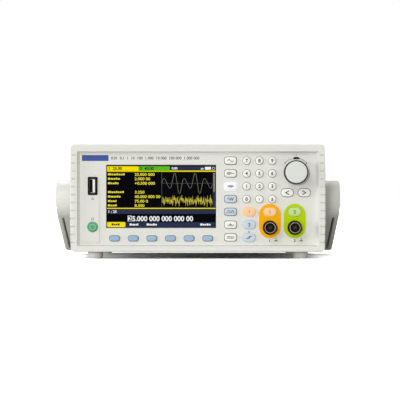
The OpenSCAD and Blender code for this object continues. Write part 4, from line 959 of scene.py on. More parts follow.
@dataclass
class Keypad:
    """All the keys of the front, with the symbols that they carry."""

    function_marks: tuple[Glyph, ...] = (Glyph.SINE, Glyph.LEVELS, Glyph.SWELL, Glyph.SWEEP, Glyph.PULSES,
                                         Glyph.STORE, Glyph.SETUP)
    lit_function: int = 2
    soft_count: int = 6
    digits: int = 10
    digit_mm: float = 2.9
    symbol_mm: float = 2.4
    symbol_stretch: float = 2.1
    point_mm: float = 1.5
    edge_stretch: float = 1.8
    cursor_mm: float = 3.4
    cursor_stroke_mm: float = 0.7
    power_mark_mm: float = 2.4
    power_flange_mm: float = 1.0
    ring_outer_in_mm: float = 0.55
    ring_inner_in_mm: float = 1.05
    ring_deep_mm: float = 0.3
    ring_steps: int = 64

    def caps(self) -> list[KeyCap]:
        """List every key.

        Returns:
            One entry for each key's CAD node.
        """
        keys = [KeyCap(f"soft_key_{i + 1}", Form.BAR, around=Around.SLIM) for i in range(self.soft_count)]
        for i, mark in enumerate(self.function_marks):
            lit = i == self.lit_function
            keys.append(KeyCap(f"function_key_{i + 1}", Form.BAR, mark, Ink.SOFT_GREY if lit else Ink.BLACK,
                               Around.LIGHT if lit else Around.SHADE, self.symbol_mm, self.symbol_stretch))
        for i in range(self.digits):
            keys.append(KeyCap(f"key_{i}", Form.ROUND, str(i), Ink.BLACK, Around.THIN, self.digit_mm))
        keys += [
            KeyCap("key_point", Form.ROUND, Glyph.POINT, Ink.BLACK, Around.THIN, self.point_mm),
            KeyCap("key_sign", Form.ROUND, "±", Ink.BLACK, Around.THIN, self.digit_mm),
            KeyCap("channel_1_key", Form.OVAL, "1", Ink.OCHRE, Around.WARM, self.digit_mm),
            KeyCap("channel_2_key", Form.OVAL, "2", Ink.STEEL_BLUE, Around.COOL, self.digit_mm),
            KeyCap("trigger_key", Form.OVAL, Glyph.EDGE, Ink.STEEL_BLUE, Around.COOL,
                   mark_stretch=self.edge_stretch),
        ]
        for side, mark in (("left", Glyph.LEFT), ("right", Glyph.RIGHT)):
            keys.append(KeyCap(f"cursor_{side}_key", Form.OVAL, mark, Ink.BLACK, mark_mm=self.cursor_mm,
                               stroke_mm=self.cursor_stroke_mm))
        for number, ink in (("1", Ink.OCHRE), ("2", Ink.OLIVE)):
            keys.append(KeyCap(f"output_{number}_key", Form.OVAL, number, ink, Around.NOTHING, self.digit_mm))
        keys.append(KeyCap("power_button", Form.ROUND, Glyph.STANDBY, Ink.STANDBY, Around.POWER,
                           self.power_mark_mm))
        return keys

    def power_ring(self) -> None:
        """Model the deep green ring round the power button's face."""
        low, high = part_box("power_button")
        x, z = middle("power_button")
        cap_r = (high.x - low.x) / 2 - self.power_flange_mm * MM
        outer, inner = cap_r - self.ring_outer_in_mm * MM, cap_r - self.ring_inner_in_mm * MM
        front, back = low.y, low.y + self.ring_deep_mm * MM
        shape = Build("power_ring")
        shape.turned([(inner, back), (inner, front), (outer, front), (outer, back)], x, z,
                     steps=self.ring_steps, closed=True)
        shape.finish("power_button", Ink.STANDBY.material, "power_green")

    def build(self) -> None:
        """Make every key."""
        for key in self.caps():
            key.build()
        self.power_ring()


@dataclass
class Display:
    """What the screen shows: bars, plain numbers, two traces and a scroll bar, in front of the window.

    Places are in millimetres across and down from the window's top left corner.
    """

    lift_mm: float = 0.03
    thick_share: float = 0.8
    left_mm: float = 0.5
    right_mm: float = 92.4
    corner_steps: int = 4
    label_tall_mm: float = 0.95
    label_short_mm: float = 0.6
    label_drop_mm: float = 0.75
    label_gap_mm: float = 0.35
    axis_mm: float = 0.3
    smooth_stroke_mm: float = 0.3
    noisy_stroke_mm: float = 0.28
    plot_left_mm: float = 46.9
    plot_right_mm: float = 89.6
    smooth_down_mm: float = 15.4
    period_mm: float = 8.6
    swing_mm: float = 6.3
    dip_mm: float = 3.3
    smooth_steps: int = 170
    noisy_down_mm: float = 30.4
    noisy_points: int = 170
    noise_mm: float = 4.2
    spike_mm: float = 3.6
    noise_seed: int = 7
    parts: dict[Ink, Build] = field(default_factory=dict)

    @property
    def thick(self) -> float:
        """How thick everything on the screen is, which is a little less than a layer."""
        return self.thick_share * self.lift_mm * MM

    def ink(self, ink: Ink) -> Build:
        """Fetch the shape that gathers one ink."""
        return self.parts.setdefault(ink, Build(f"screen_{ink.name.lower()}"))

    def at(self, across: float, down: float) -> Point:
        """Turn millimetres from the window's top left corner into X and Z."""
        return WINDOW_LOW.x + across * MM, WINDOW_HIGH.z - down * MM

    def front(self, layer: int) -> float:
        """Give the Y of a layer's front."""
        return WINDOW_LOW.y - layer * self.lift_mm * MM

    def bar(self, ink: Ink, left: float, top: float, right: float, bottom: float, layer: int = 1,
            corner: float = 0.0) -> None:
        """Fill a box of the screen.

        Args:
            ink: Its colour.
            left: Left edge, in millimetres from the window's top left corner.
            top: Top edge.
            right: Right edge.
            bottom: Bottom edge.
            layer: Its layer, from 1 at the back.
            corner: Radius of its corners in millimetres.
        """
        x0, z0 = self.at(left, bottom)
        x1, z1 = self.at(right, top)
        front = self.front(layer)
        self.ink(ink).plate((x0 + x1) / 2, (z0 + z1) / 2, x1 - x0, z1 - z0, corner * MM, front,
                            front + self.thick, self.corner_steps)

    def text(self, ink: Ink, words: str, across: float, down: float, height: float = 2.2, layer: int = 1,
             align: str = "LEFT", stretch: float = 1.05) -> None:
        """Write plain numbers on the screen.

        Args:
            ink: Their colour.
            words: The characters.
            across: Where they are aligned, in millimetres from the window's left edge.
            down: Their middle, in millimetres from the window's top edge.
            height: Height of a digit in millimetres.
            layer: Their layer.
            align: LEFT, CENTER or RIGHT.
            stretch: How much wider than normal they are.
        """
        x, z = self.at(across, down)
        self.ink(ink).words(words, x, z, height * MM, self.front(layer), self.thick, align, stretch)

    def trace(self, ink: Ink, points: Iterable[Point], width: float, layer: int = 1) -> None:
        """Draw a line on the screen.

        Args:
            ink: Its colour.
            points: Millimetres across and down from the window's top left corner.
            width: Its width in millimetres.
            layer: Its layer.
        """
        self.ink(ink).band([self.at(*point) for point in points], width * MM, self.front(layer), self.thick)

    def label(self, across: float, down: float, widths: Sequence[float], ink: Ink, layer: int = 1) -> None:
        """Stand short bars in the place of a word.

        Args:
            across: Left end in millimetres.
            down: Middle in millimetres.
            widths: Width of each short bar in millimetres.
            ink: Their colour.
            layer: Their layer.
        """
        for i, width in enumerate(widths):
            rise = self.label_short_mm if i % 3 else self.label_tall_mm
            self.bar(ink, across, down - rise, across + width, down + self.label_drop_mm, layer)
            across += width + self.label_gap_mm

    def header(self) -> None:
        """Lay out the tabs, icons and lines along the top."""
        self.bar(Ink.NAVY, 54.0, 1.0, self.right_mm, 4.4)
        self.bar(Ink.YELLOW, self.left_mm, 1.0, 27.2, 5.7, corner=0.7)
        self.bar(Ink.GREEN, 27.4, 1.0, 53.6, 5.2, corner=0.7)
        self.bar(Ink.YELLOW, self.left_mm, 4.6, self.right_mm, 5.6)
        self.text(Ink.DARK, "1  25.00", 1.4, 2.8, 2.4, 2)
        self.text(Ink.DARK, "2  40.00", 28.3, 2.8, 2.4, 2)
        self.text(Ink.WHITE, "0:00", 55.2, 2.7, 1.9, 2)
        self.bar(Ink.WHITE, 83.4, 1.5, 88.5, 3.9, 2)
        for left, right in ((80.0, 80.8), (81.2, 82.0)):
            self.bar(Ink.WHITE, left, 2.4, right, 3.8, 2)
        x, z = self.at(90.6, 2.7)
        self.ink(Ink.WHITE).band(arc(x, z, 1.0 * MM, 0, 360, 16), 0.3 * MM, self.front(2), self.thick)

    def rows(self) -> None:
        """Lay out the settings: short bars for their names and plain numbers for their values."""
        rows = (
            (7.9, "25.000 000", (2.6, 1.5, 2.0, 1.6, 1.4, 1.6, 1.4)),
            (11.6, "2.000 00", (1.9, 2.4, 1.3, 1.2, 2.0)),
            (15.4, "+0.500 000", (2.2, 1.2, 1.2, 1.6, 1.4)),
            (22.9, "3.250", (2.6, 1.6, 1.5, 1.4, 1.2, 1.6, 1.5)),
            (26.7, "40.000 000 00", (2.2, 2.4, 2.0, 1.2, 1.5)),
            (30.5, "75.00 0", (2.2, 1.4, 1.6, 1.0)),
            (34.2, "8.500", (1.8, 1.6, 1.6, 1.4)),
        )
        for down, value, widths in rows:
            self.label(1.2, down, widths, Ink.TEXT_YELLOW)
            self.text(Ink.TEXT_YELLOW, value, 23.8, down, 2.3, stretch=1.15)

    def plot(self) -> None:
        """Draw the axes, the smooth trace, the noisy trace and the scroll bar."""
        left, right, level = self.plot_left_mm, self.plot_right_mm, self.smooth_down_mm
        self.bar(Ink.AXIS, 46.6, 5.8, 47.0, 35.8)
        self.bar(Ink.AXIS, left, level - self.axis_mm / 2, right, level + self.axis_mm / 2)
        smooth = []
        for i in range(self.smooth_steps + 1):
            across = (right - left) * i / self.smooth_steps
            turn = math.pi * across / self.period_mm
            swing = self.swing_mm - self.dip_mm * math.sin(turn)
            smooth.append((left + across, level - swing * math.sin(2 * turn)))
        self.trace(Ink.TRACE, smooth, self.smooth_stroke_mm, 2)
        draw = random.Random(self.noise_seed)
        noisy = []
        for i in range(self.noisy_points):
            down = self.noisy_down_mm + (draw.random() - 0.5) * self.noise_mm
            down += (-1) ** i * draw.random() * self.spike_mm
            noisy.append((left + (right - left) * i / (self.noisy_points - 1), down))
        self.trace(Ink.OLIVE_LINE, noisy, self.noisy_stroke_mm, 2)
        self.bar(Ink.NAVY, 90.0, 5.9, 92.2, 35.6)
        self.bar(Ink.TRACE, 90.4, 6.6, 91.8, 22.6, 2, 0.3)

    def footer(self) -> None:
        """Lay out the menu bar, the large number and the row above the soft keys."""
        self.bar(Ink.YELLOW, self.left_mm, 36.2, self.right_mm, 37.0)
        self.bar(Ink.NAVY, self.left_mm, 37.2, self.right_mm, 41.3)
        self.text(Ink.WHITE, "1 : 25", 1.2, 39.3, 2.2, 2)
        self.bar(Ink.WHITE, 18.0, 42.8, 21.3, 47.7)
        self.text(Ink.DARK, "2", 18.4, 45.3, 4.1, 2, stretch=0.95)
        self.text(Ink.WHITE, "5.000 000 000 000 00", 21.6, 45.3, 4.1, 1, stretch=1.0)
        self.bar(Ink.NAVY, self.left_mm, 48.4, self.right_mm, 52.8)
        self.bar(Ink.YELLOW, 0.6, 48.2, 16.0, 52.5, 2, 0.9)
        self.label(4.4, 50.3, (1.6, 1.2, 1.4, 1.5), Ink.DARK, 3)
        for across, widths in ((19.6, (2.0, 2.2, 1.2, 0.9)), (34.0, (2.0, 1.2, 1.2, 1.5, 1.3)),
                               (79.4, (2.0, 1.4, 1.1, 1.4, 1.4))):
            self.label(across, 50.4, widths, Ink.WHITE, 2)

    def build(self) -> None:
        """Make the whole picture, one piece for each ink."""
        self.header()
        self.rows()
        self.plot()
        self.footer()
        for ink, shape in self.parts.items():
            shape.finish("case", ink.material, "window", smooth=None, merge=False)


@dataclass
class Knob:
    """The turning knob: a plain pale cap with a rounded rim, in a black fluted grip."""

    rim_mm: float = 0.5
    rim_steps: int = 5
    face_share: float = 0.6
    skirt_mm: float = 2.2
    draft_mm: float = 0.35
    smooth_deg: float = 50
    flutes: int = 48
    flute_steps: int = 6
    flute_mm: float = 0.16
    flute_reach_mm: float = 0.1
    grip_in_mm: float = 0.3
    grip_mm: float = 1.0
    grip_edge_mm: float = 0.2
    grip_behind_mm: float = 0.7
    grip_gap_mm: float = 1.3

    def cap(self) -> bpy.types.Object:
        """Model the knob that replaces the CAD knob.

        Returns:
            The finished knob.
        """
        low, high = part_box("control_knob")
        x, z = middle("control_knob")
        radius, tip, base = (high.x - low.x) / 2, low.y, high.y
        rim, skirt, draft = self.rim_mm * MM, self.skirt_mm * MM, self.draft_mm * MM
        side = radius - draft
        outline = [(0, base), (radius, base), (radius, base - skirt), (side, base - skirt - draft)]
        outline += arc(side - rim, tip + rim, rim, 0, -90, self.rim_steps)
        outline += [(side * self.face_share, tip), (0, tip)]
        shape = Build("control_knob_cap")
        shape.turned(outline, x, z)
        piece = shape.finish("knob", Paint.KNOB.material, "knob", smooth=self.smooth_deg)
        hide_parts("control_knob")
        return piece

    def grip(self) -> bpy.types.Object:
        """Model the black ring round the pale cap, with its fine flutes.

        Returns:
            The finished ring, which turns with the knob.
        """
        low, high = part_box("control_knob")
        x, z = middle("control_knob")
        inner = (high.x - low.x) / 2 - self.grip_in_mm * MM
        outer = inner + self.grip_mm * MM
        front, back = low.y + self.grip_behind_mm * MM, PANEL_FACE - self.grip_gap_mm * MM
        edge = self.grip_edge_mm * MM
        shape = Build("knob_grip")
        shape.turned([(inner, front), (outer - edge, front), (outer, front + edge), (outer, back),
                      (inner, back)], x, z, steps=self.flutes * self.flute_steps, closed=True)
        for vertex in shape.solid.verts:
            across, up = vertex.co.x - x, vertex.co.z - z
            reach = math.hypot(across, up)
            if reach > outer - self.flute_reach_mm * MM:
                dent = self.flute_mm * MM * max(0.0, math.cos(self.flutes * math.atan2(up, across)))
                vertex.co.x -= across / reach * dent
                vertex.co.z -= up / reach * dent
        return shape.finish("knob", Paint.BLACK.material, "black_plastic", smooth=self.smooth_deg)

    def build(self) -> bpy.types.Object:
        """Make the knob and its grip.

        Returns:
            The knob.
        """
        self.grip()
        return self.cap()


@dataclass
class Outputs:
    """What shows of the two output jacks: a dark sleeve over each shell, and the insulator inside it with a
    thin lining over the shell's bore that is painted shade.
    """

    shell_mm: float = 4.87
    mouth_mm: float = 8.0
    seat_mm: float = 0.02
    sleeve_mm: float = 0.85
    sleeve_out_mm: float = 0.05
    sleeve_edge_mm: float = 0.3
    sleeve_steps: int = 72
    lip_mm: float = 0.3
    insulator_r_mm: float = 4.0
    insulator_steps: int = 64
    core_r_mm: float = 2.1
    core_out_mm: float = 6.1
    ledge_mm: float = 1.0
    contact_r_mm: float = 0.22
    # The lining over the shell's bore is painted shade in the bore.
    lining_mm: float = 0.25
    lining_in_mm: float = 0.7

    def centres(self) -> Line:
        """List the middle of each front jack, from the box of the bushes.

        Returns:
            X and Z of each jack.
        """
        low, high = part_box("socket_bushes")
        reach = (high.z - low.z) / 2
        return [(low.x + reach, low.z + reach), (high.x - reach, low.z + reach)]

    def insulator(self, number: int, x: float, z: float) -> bpy.types.Object:
        """Model the brown insulator in one jack, and the thin lining over the bore that is painted shade in
        the bore.

        Args:
            number: The jack's number.
            x: Its axis's place along X.
            z: Its axis's height.

        Returns:
            The finished insulator.
        """
        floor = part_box("bnc_sockets")[0].y + self.mouth_mm * MM
        core, hole = self.core_r_mm * MM, self.contact_r_mm * MM
        outer, lip = self.insulator_r_mm * MM, floor - (self.mouth_mm - self.lining_in_mm) * MM
        # The lining from the ledge forward to the lip is painted shade over the metal bore.
        inner = outer - self.lining_mm * MM
        seat, tip, ledge = (floor - size * MM for size in (self.seat_mm, self.core_out_mm, self.ledge_mm))
        shape = Build(f"output_{number}_insulator")
        shape.turned([(hole, seat), (hole, tip), (core, tip), (core, ledge), (inner, ledge), (inner, lip),
                      (outer, lip), (outer, seat)], x, z, steps=self.insulator_steps, closed=True)
        return shape.finish("case", Coat.INSULATOR.material, "black_plastic")

    def sleeve(self, number: int, x: float, z: float) -> bpy.types.Object:
        """Model the dark sleeve over one jack's shell and lugs.

        Args:
            number: The jack's number.
            x: Its axis's place along X.
            z: Its axis's height.

        Returns:
            The finished sleeve.
        """
        mouth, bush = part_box("bnc_sockets")[0].y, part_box("socket_bushes")[0].y
        inner = self.shell_mm * MM
        outer = inner + self.sleeve_mm * MM
        front = mouth - self.sleeve_out_mm * MM
        lip, edge, seat = inner - self.lip_mm * MM, self.sleeve_edge_mm * MM, mouth - self.seat_mm * MM
        shape = Build(f"output_{number}_sleeve")
        shape.turned([(lip, front), (outer - edge, front), (outer, front + edge), (outer, bush),
                      (inner, bush), (inner, seat), (lip, seat)], x, z, steps=self.sleeve_steps, closed=True)
        return shape.finish("case", Coat.FRAME.material, "black_plastic")

    def build(self) -> list[bpy.types.Object]:
        """Make both jacks' insulators and sleeves.

        Returns:
            The sleeves.
        """
        made = []
        for i, (x, z) in enumerate(self.centres()):
            self.insulator(i + 1, x, z)
            made.append(self.sleeve(i + 1, x, z))
        return made


@dataclass
class Grip:
    """Painted shade on the floors of the grip grooves on the front bezel's face, level with the panel's
    middle.
    """

    count: int = 12
    pitch_mm: float = 6.7
    height_mm: float = 0.86
    depth_mm: float = 0.7
    reach_mm: float = 3.8
    bow_mm: float = 0.9
    edge_mm: float = 0.4
    thick_mm: float = 0.06
    sunk_mm: float = 0.01

    def build(self) -> None:
        """Lay a thin darker strip of painted shade on the floor of each groove."""
        low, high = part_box("front_bezel")
        x = middle("front_bezel")[0]
        z = middle("front_panel")[1]
        width = (self.reach_mm - self.edge_mm) * MM
        out = (high.x - low.x) / 2 - self.bow_mm * MM - self.edge_mm * MM - width / 2
        y = low.y + (self.depth_mm - self.thick_mm / 2 + self.sunk_mm) * MM
        # Each strip is painted shade in its groove.
        shape = Build("grip_shades")
        for i in range(self.count):
            level = z + (i - (self.count - 1) / 2) * self.pitch_mm * MM
            for side in (-1, 1):
                shape.block(Vector((x + side * out, y, level)),
                            Vector((width, self.thick_mm * MM, self.height_mm * MM)))
        shape.finish("case", Coat.GROOVE.material, "casing", smooth=None)


@dataclass
class HostSocket:
    """What shows of the upright socket on the column: black frame, a black block at the back that is painted
    shade in the socket's depth, springs, and the pale tongue with a painted glow.
    """

    frame_mm: float = 1.5
    frame_corner_mm: float = 0.8
    frame_in_mm: float = 0.2
    proud_mm: float = 0.15
    rise_mm: float = 0.2
    # The black block at the back of the socket is painted shade in its depth.
    liner_in_mm: float = 1.45
    liner_behind_mm: float = 2.4
    inner_corner_mm: float = 0.2
    inner_corner_steps: int = 3
    deep_mm: float = 6.0
    spring_mm: Triple = (3.4, 1.6, 0.5)
    spring_in_mm: float = 1.9
    spring_behind_mm: float = 1.5
    tongue_mm: Point = (1.9, 10.6)
    tongue_off_mm: float = 1.0
    tongue_behind_mm: float = 0.75
    tongue_edge_mm: float = 0.15

    def rim(self) -> bpy.types.Object:
        """Model the black frame round the mouth.

        Returns:
            The finished frame.
        """
        low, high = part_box("usb_socket")
        proud = 2 * self.proud_mm * MM
        shape = Build("usb_frame")
        shape.ring(*middle("usb_socket"), high.x - low.x + proud, high.z - low.z + proud,
                   self.frame_corner_mm * MM, self.frame_mm * MM, low.y - self.rise_mm * MM,
                   PANEL_FACE + self.frame_in_mm * MM)
        return shape.finish("case", Coat.FRAME.material, "black_plastic")

    def slab(self, shape: Build, off_mm: float, width: float, height: float,
             behind_mm: float) -> list[bmesh.types.BMEdge]:
        """Stand a plate in the socket.

        Args:
            shape: The shape that gets the plate.
            off_mm: How far it stands to the right of the socket's middle, in millimetres.
            width: Its width along X.
            height: Its height along Z.
            behind_mm: How far its front is behind the mouth, in millimetres.

        Returns:
            The edges of its front face.
        """
        x, z = middle("usb_socket")
        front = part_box("usb_socket")[0].y + behind_mm * MM
        return list(shape.plate(x + off_mm * MM, z, width, height, self.inner_corner_mm * MM, front,
                                PANEL_FACE + self.deep_mm * MM, steps=self.inner_corner_steps).edges)

    def build(self) -> bpy.types.Object:
        """Make the frame, the dark block of painted shade at the back, the two springs and the tongue with
        its painted glow.

        Returns:
            The frame.
        """
        low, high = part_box("usb_socket")
        x, z = middle("usb_socket")
        rim = self.rim()
        # The block behind the mouth is black to paint the shade in the depth of the socket.
        wall = 2 * self.liner_in_mm * MM
        depth_shade = Build("usb_depth_shade")
        self.slab(depth_shade, 0, high.x - low.x - wall, high.z - low.z - wall, self.liner_behind_mm)
        depth_shade.finish("case", Coat.FRAME.material, "black_plastic")
        springs = Build("usb_springs")
        reach = (high.z - low.z) / 2 - self.spring_in_mm * MM
        for level in (z - reach, z + reach):
            springs.block(Vector((x, low.y + self.spring_behind_mm * MM, level)), mm(*self.spring_mm))
        springs.finish("case", Paint.SOCKET.material, "socket_metal")
        # The tongue's finish glows a little though it is no lamp: painted light in the recess.
        tongue = Build("usb_tongue")
        edges = self.slab(tongue, self.tongue_off_mm, *(size * MM for size in self.tongue_mm),
                          self.tongue_behind_mm)
        tongue.soften(edges, self.tongue_edge_mm * MM, 2)
        tongue.finish("case", Coat.TONGUE.material, "socket_metal")
        return rim


@dataclass
class PanelPrint:
    """The marks printed on the panel, placed by points of the photograph or by the CAD nodes beside them."""

    view: Viewpoint
    carrier: bpy.types.Object
    stroke_mm: float = 0.3
    beside: tuple[tuple[str, Glyph, float, float], ...] = (
        ("power_button", Glyph.STANDBY, 6.8, 2.2),
        ("usb_socket", Glyph.STORE, -10.7, 2.2),
        ("trigger_key", Glyph.SETUP, 4.7, 1.4),
    )
    earth_mm: float = 2.4
    earth_stroke_mm: float = 0.42
    number_mm: float = 2.1
    number_off_mm: Point = (-5.5, -0.6)
    push_rows: int = 6
    push_stroke_mm: float = 0.42
    push_up_mm: float = 0.8
    push_top_mm: float = 1.9
    push_growth_mm: float = 0.9
    arrow_degs: tuple[Point, ...] = ((73, 38), (107, 142))
    barb_mm: Point = (0.9, 0.55)
    pointer_mm: Point = (1.9, 3.6)
    plate_mm: Point = (22.6, 5.0)
    plate_off_mm: Point = (-9.5, 6.0)
    plate_corner_mm: float = 0.4
    plate_corner_steps: int = 4
    numbers: str = "0.01  0.1  1  10  100  1 000  10 000  100 000  1 000 000"
    numbers_mm: float = 2.3
    numbers_gap_mm: float = 2.0
    made: dict[str, bpy.types.Object] = field(default_factory=dict)

    @property
    def face(self) -> float:
        """Y of the print's front."""
        return PANEL_FACE - PRINT_T

    def spot(self, name: str) -> Point:
        """Find where a point of the photograph lies on the panel.

        Args:
            name: The point's name.

        Returns:
            X and Z of that place.
        """
        hit = self.view.place(*IMAGE_POINTS[name], self.carrier)
        return hit.x, hit.z

    def surface(self, x: float, z: float) -> float:
        """Find the Y of the panel's surface at a place."""
        seen = self.view.project(Vector((x, PANEL_FACE, z)))
        return self.view.place(*seen, self.carrier).y

    def symbol(self, name: str, glyph: Glyph, x: float, z: float, height_mm: float, stroke_mm: float,
               ink: Ink) -> bpy.types.Object:
        """Print one symbol.

        Args:
            name: The name of its piece.
            glyph: The symbol.
            x: Middle of the symbol.
            z: Middle height of the symbol.
            height_mm: Its height in millimetres.
            stroke_mm: Width of its strokes in millimetres.
            ink: What it is printed in.

        Returns:
            The printed symbol.
        """
        height = height_mm * MM
        front = min(self.surface(x, z - height / 2), self.surface(x, z + height / 2)) - PRINT_T
        shape = Build(name)
        glyph.draw(shape, x, z, height, stroke_mm * MM, front)
        return shape.finish("case", ink.material, "panel", smooth=None)

    def near(self, node: str, glyph: Glyph, up_mm: float, height_mm: float) -> None:
        """Print one symbol over or under a CAD node.

        Args:
            node: The node.
            glyph: The symbol.
            up_mm: How far the symbol is above the node's middle, in millimetres.
            height_mm: The symbol's height in millimetres.
        """
        x, z = middle(node)
        self.symbol(f"{node}_symbol", glyph, x, z + up_mm * MM, height_mm, self.stroke_mm, Ink.GREY)

    def push(self, x: float, z: float) -> bpy.types.Object:
        """Print the push mark, a few bars that widen downwards.

        Args:
            x: Middle of the mark.
            z: Middle height of the mark.

        Returns:
            The printed mark.
        """
        shape = Build("push_symbol")
        for i in range(self.push_rows):
            share = i / (self.push_rows - 1)
            level = z + self.push_up_mm * (1 - 2 * share) * MM
            half = (self.push_top_mm + self.push_growth_mm * share) * MM
            shape.band([(x - half, level), (x + half, level)], self.push_stroke_mm * MM, self.face, PRINT_T)
        return shape.finish("case", Ink.BLACK.material, "panel", smooth=None)

    def arrows(self, x: float, z: float) -> None:
        """Print the two turn arrows over the knob and the pointer over the push mark.

        Args:
            x: Middle of the push mark.
            z: Middle height of the push mark.
        """
        knob_x, knob_z = middle("control_knob")
        reach = math.hypot(x - knob_x, z - knob_z)
        stroke, (long, wide) = self.stroke_mm * MM, self.barb_mm
        shape = Build("turn_arrows")
        for first, last in self.arrow_degs:
            line = arc(knob_x, knob_z, reach, first, last)
            shape.band(line, stroke, self.face, PRINT_T)
            end = Vector(line[-1])
            ahead = (end - Vector(line[-3])).normalized()
            side = Vector((-ahead.y, ahead.x))
            for sign in (-1, 1):
                barb = end - ahead * long * MM + side * sign * wide * MM
                shape.band([tuple(end), tuple(barb)], stroke, self.face, PRINT_T)
        shape.band([(x, z + up * MM) for up in self.pointer_mm], stroke, self.face, PRINT_T)
        shape.finish("case", Ink.BLACK.material, "panel", smooth=None)

    def output_mark(self, number: int) -> None:
        """Print the earth symbol and a plain number under one output.

        Args:
            number: The output's number.
        """
        name = f"output_{number}_earth"
        x, z = self.spot(name)
        self.made[name] = self.symbol(name, Glyph.EARTH, x, z, self.earth_mm, self.earth_stroke_mm, Ink.BLACK)
        off_x, off_z = (size * MM for size in self.number_off_mm)
        shape = Build(f"output_{number}_number")
        shape.words(str(number), x + off_x, z + off_z, self.number_mm * MM, self.face, PRINT_T)
        shape.finish("case", Ink.BLACK.material, "panel", smooth=None)

    def headline(self) -> None:
        """Print the plain bar and the row of numbers above the screen, where the photograph has words."""
        off_x, off_z = (size * MM for size in self.plate_off_mm)
        width, height = (size * MM for size in self.plate_mm)
        x, z = WINDOW_LOW.x + off_x, WINDOW_HIGH.z + off_z
        shape = Build("headline")
        shape.plate(x, z, width, height, self.plate_corner_mm * MM, self.face, self.face + PRINT_T,
                    self.plate_corner_steps)
        shape.finish("case", Ink.SLATE.material, "panel", smooth=None)
        scale = Build("headline_numbers")
        start = x + width / 2 + self.numbers_gap_mm * MM
        scale.words(self.numbers, start, z, self.numbers_mm * MM, self.face, PRINT_T, "LEFT")
        scale.finish("case", Ink.GREY.material, "panel", smooth=None)

    def build(self) -> dict[str, bpy.types.Object]:
        """Print everything.

        Returns:
            The printed pieces by the names of their points.
        """
        for mark in self.beside:
            self.near(*mark)
        place = self.spot("push_symbol")
        self.made["push_symbol"] = self.push(*place)
        self.arrows(*place)
        for number in (1, 2):
            self.output_mark(number)
        self.headline()
        return self.made


@dataclass
class Handle:
    """The carrying handle, taken from its CAD solid with its edges rounded."""

    edge_mm: float = 1.1
    edge_steps: int = 3
    sharp_deg: float = 40.0
    flat_deg: float = 1.0

    def build(self) -> bpy.types.Object:
        """Make the handle that replaces the CAD one.

        Returns:
            The finished handle.
        """
        source = frame["nodes"]["carry_handle"]
        shape = Build("handle_moulding")
        solid = shape.solid
        solid.from_mesh(source.data)
        solid.transform(source.matrix_world)
        bmesh.ops.remove_doubles(solid, verts=solid.verts, dist=shape.same_place)
        bmesh.ops.dissolve_limit(solid, angle_limit=math.radians(self.flat_deg), verts=solid.verts,
                                 edges=solid.edges)
        limit = math.radians(self.sharp_deg)
        sharp = [edge for edge in solid.edges
                 if len(edge.link_faces) == 2 and edge.calc_face_angle(0) > limit]
        bmesh.ops.bevel(solid, geom=sharp, offset=self.edge_mm * MM, segments=self.edge_steps, profile=0.5,
                        affect="EDGES", material=-1, clamp_overlap=True)
        piece = shape.finish("handle", Paint.HANDLE.material, "handle", smooth=self.sharp_deg)
        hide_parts("carry_handle")
        return piece


@dataclass(frozen=True)
class Lamp:
    """A distant lamp: its strength, where its light comes from and how wide it looks."""

    name: str
    energy: float
    come_from: Triple
    soft_deg: float

    def hang(self) -> bpy.types.Object:
        """Put the lamp in the scene.

        Returns:
            The lamp.
        """
        data = bpy.data.lights.new(self.name, "SUN")
        data.energy = self.energy
        data.angle = math.radians(self.soft_deg)
        light = bpy.data.objects.new(self.name, data)
        light.rotation_euler = Vector(self.come_from).to_track_quat("Z", "Y").to_euler()
        bpy.context.scene.collection.objects.link(light)
        return light


@dataclass
class Stage:
    """The white room: floor, world and lights."""

    key: Lamp = Lamp("key_light", 0.65, (-0.36, -0.74, 0.57), 16)
    fill: Lamp = Lamp("fill_light", 1.35, (-0.95, -0.3, 0.05), 30)
    rim: Lamp = Lamp("rim_light", 1.15, (-0.15, 0.62, 0.77), 20)
    bounce: Lamp = Lamp("bounce_light", 1.05, (-0.12, -0.99, 0.06), 7)
    ambient: float = 0.36
    backdrop: float = 1.0
    floor_m: float = 30.0
    floor_shown: float = 4.2
    floor_bounce: float = 0.9

    def world(self) -> None:
        """Make the world white to the camera and in mirrors, and dimmer to everything else."""
        sky = bpy.data.worlds.new("white_room")
        bpy.context.scene.world = sky
        sky.use_nodes = True
        net = Net(sky.node_tree)
        seen = net.seen_or("Is Glossy Ray", "Is Transmission Ray")
        mix = net.add("Mix", {"Factor": seen, "A": self.ambient, "B": self.backdrop})
        net.feed(sky.node_tree.nodes["Background"],
                 {"Strength": mix.outputs["Result"], "Color": (1, 1, 1, 1)})

    def floor(self) -> bpy.types.Object:
        """Make the floor, which shows white and keeps its shadows.

        Returns:
            The floor.
        """
        shape = bmesh.new()
        bmesh.ops.create_grid(shape, x_segments=1, y_segments=1, size=self.floor_m / 2)
        mesh = bpy.data.meshes.new("floor")
        shape.to_mesh(mesh)
        shape.free()
        made = bpy.data.materials.new("floor_white")
        made.use_nodes = True
        net = Net(made.node_tree)
        lit, shown = ((level, level, level, 1) for level in (self.floor_bounce, self.floor_shown))
        mix = net.add("Mix", {"Factor": net.seen_or(), "A": lit, "B": shown}, data_type="RGBA")
        net.feed(made.node_tree.nodes["Principled BSDF"],
                 {"Base Color": mix.outputs["Result"], "Roughness": 1.0, "Specular IOR Level": 0.0})
        mesh.materials.append(made)
        floor = bpy.data.objects.new("floor", mesh)
        bpy.context.scene.collection.objects.link(floor)
        return floor

    def build(self) -> None:
        """Make the whole stage and show colours as they are written."""
        bpy.context.scene.view_settings.view_transform = "Standard"
        self.world()
        floor = self.floor()
        self.key.hang()
        self.fill.hang()
        rim = self.rim.hang()
        bounce = self.bounce.hang()
        bounce.visible_glossy = False
        unlit = bpy.data.collections.new("not_lit_by_helpers")
        unlit.objects.link(floor)
        for light in (rim, bounce):
            light.light_linking.receiver_collection = unlit
        unlit.collection_objects[0].light_linking.link_state = "EXCLUDE"


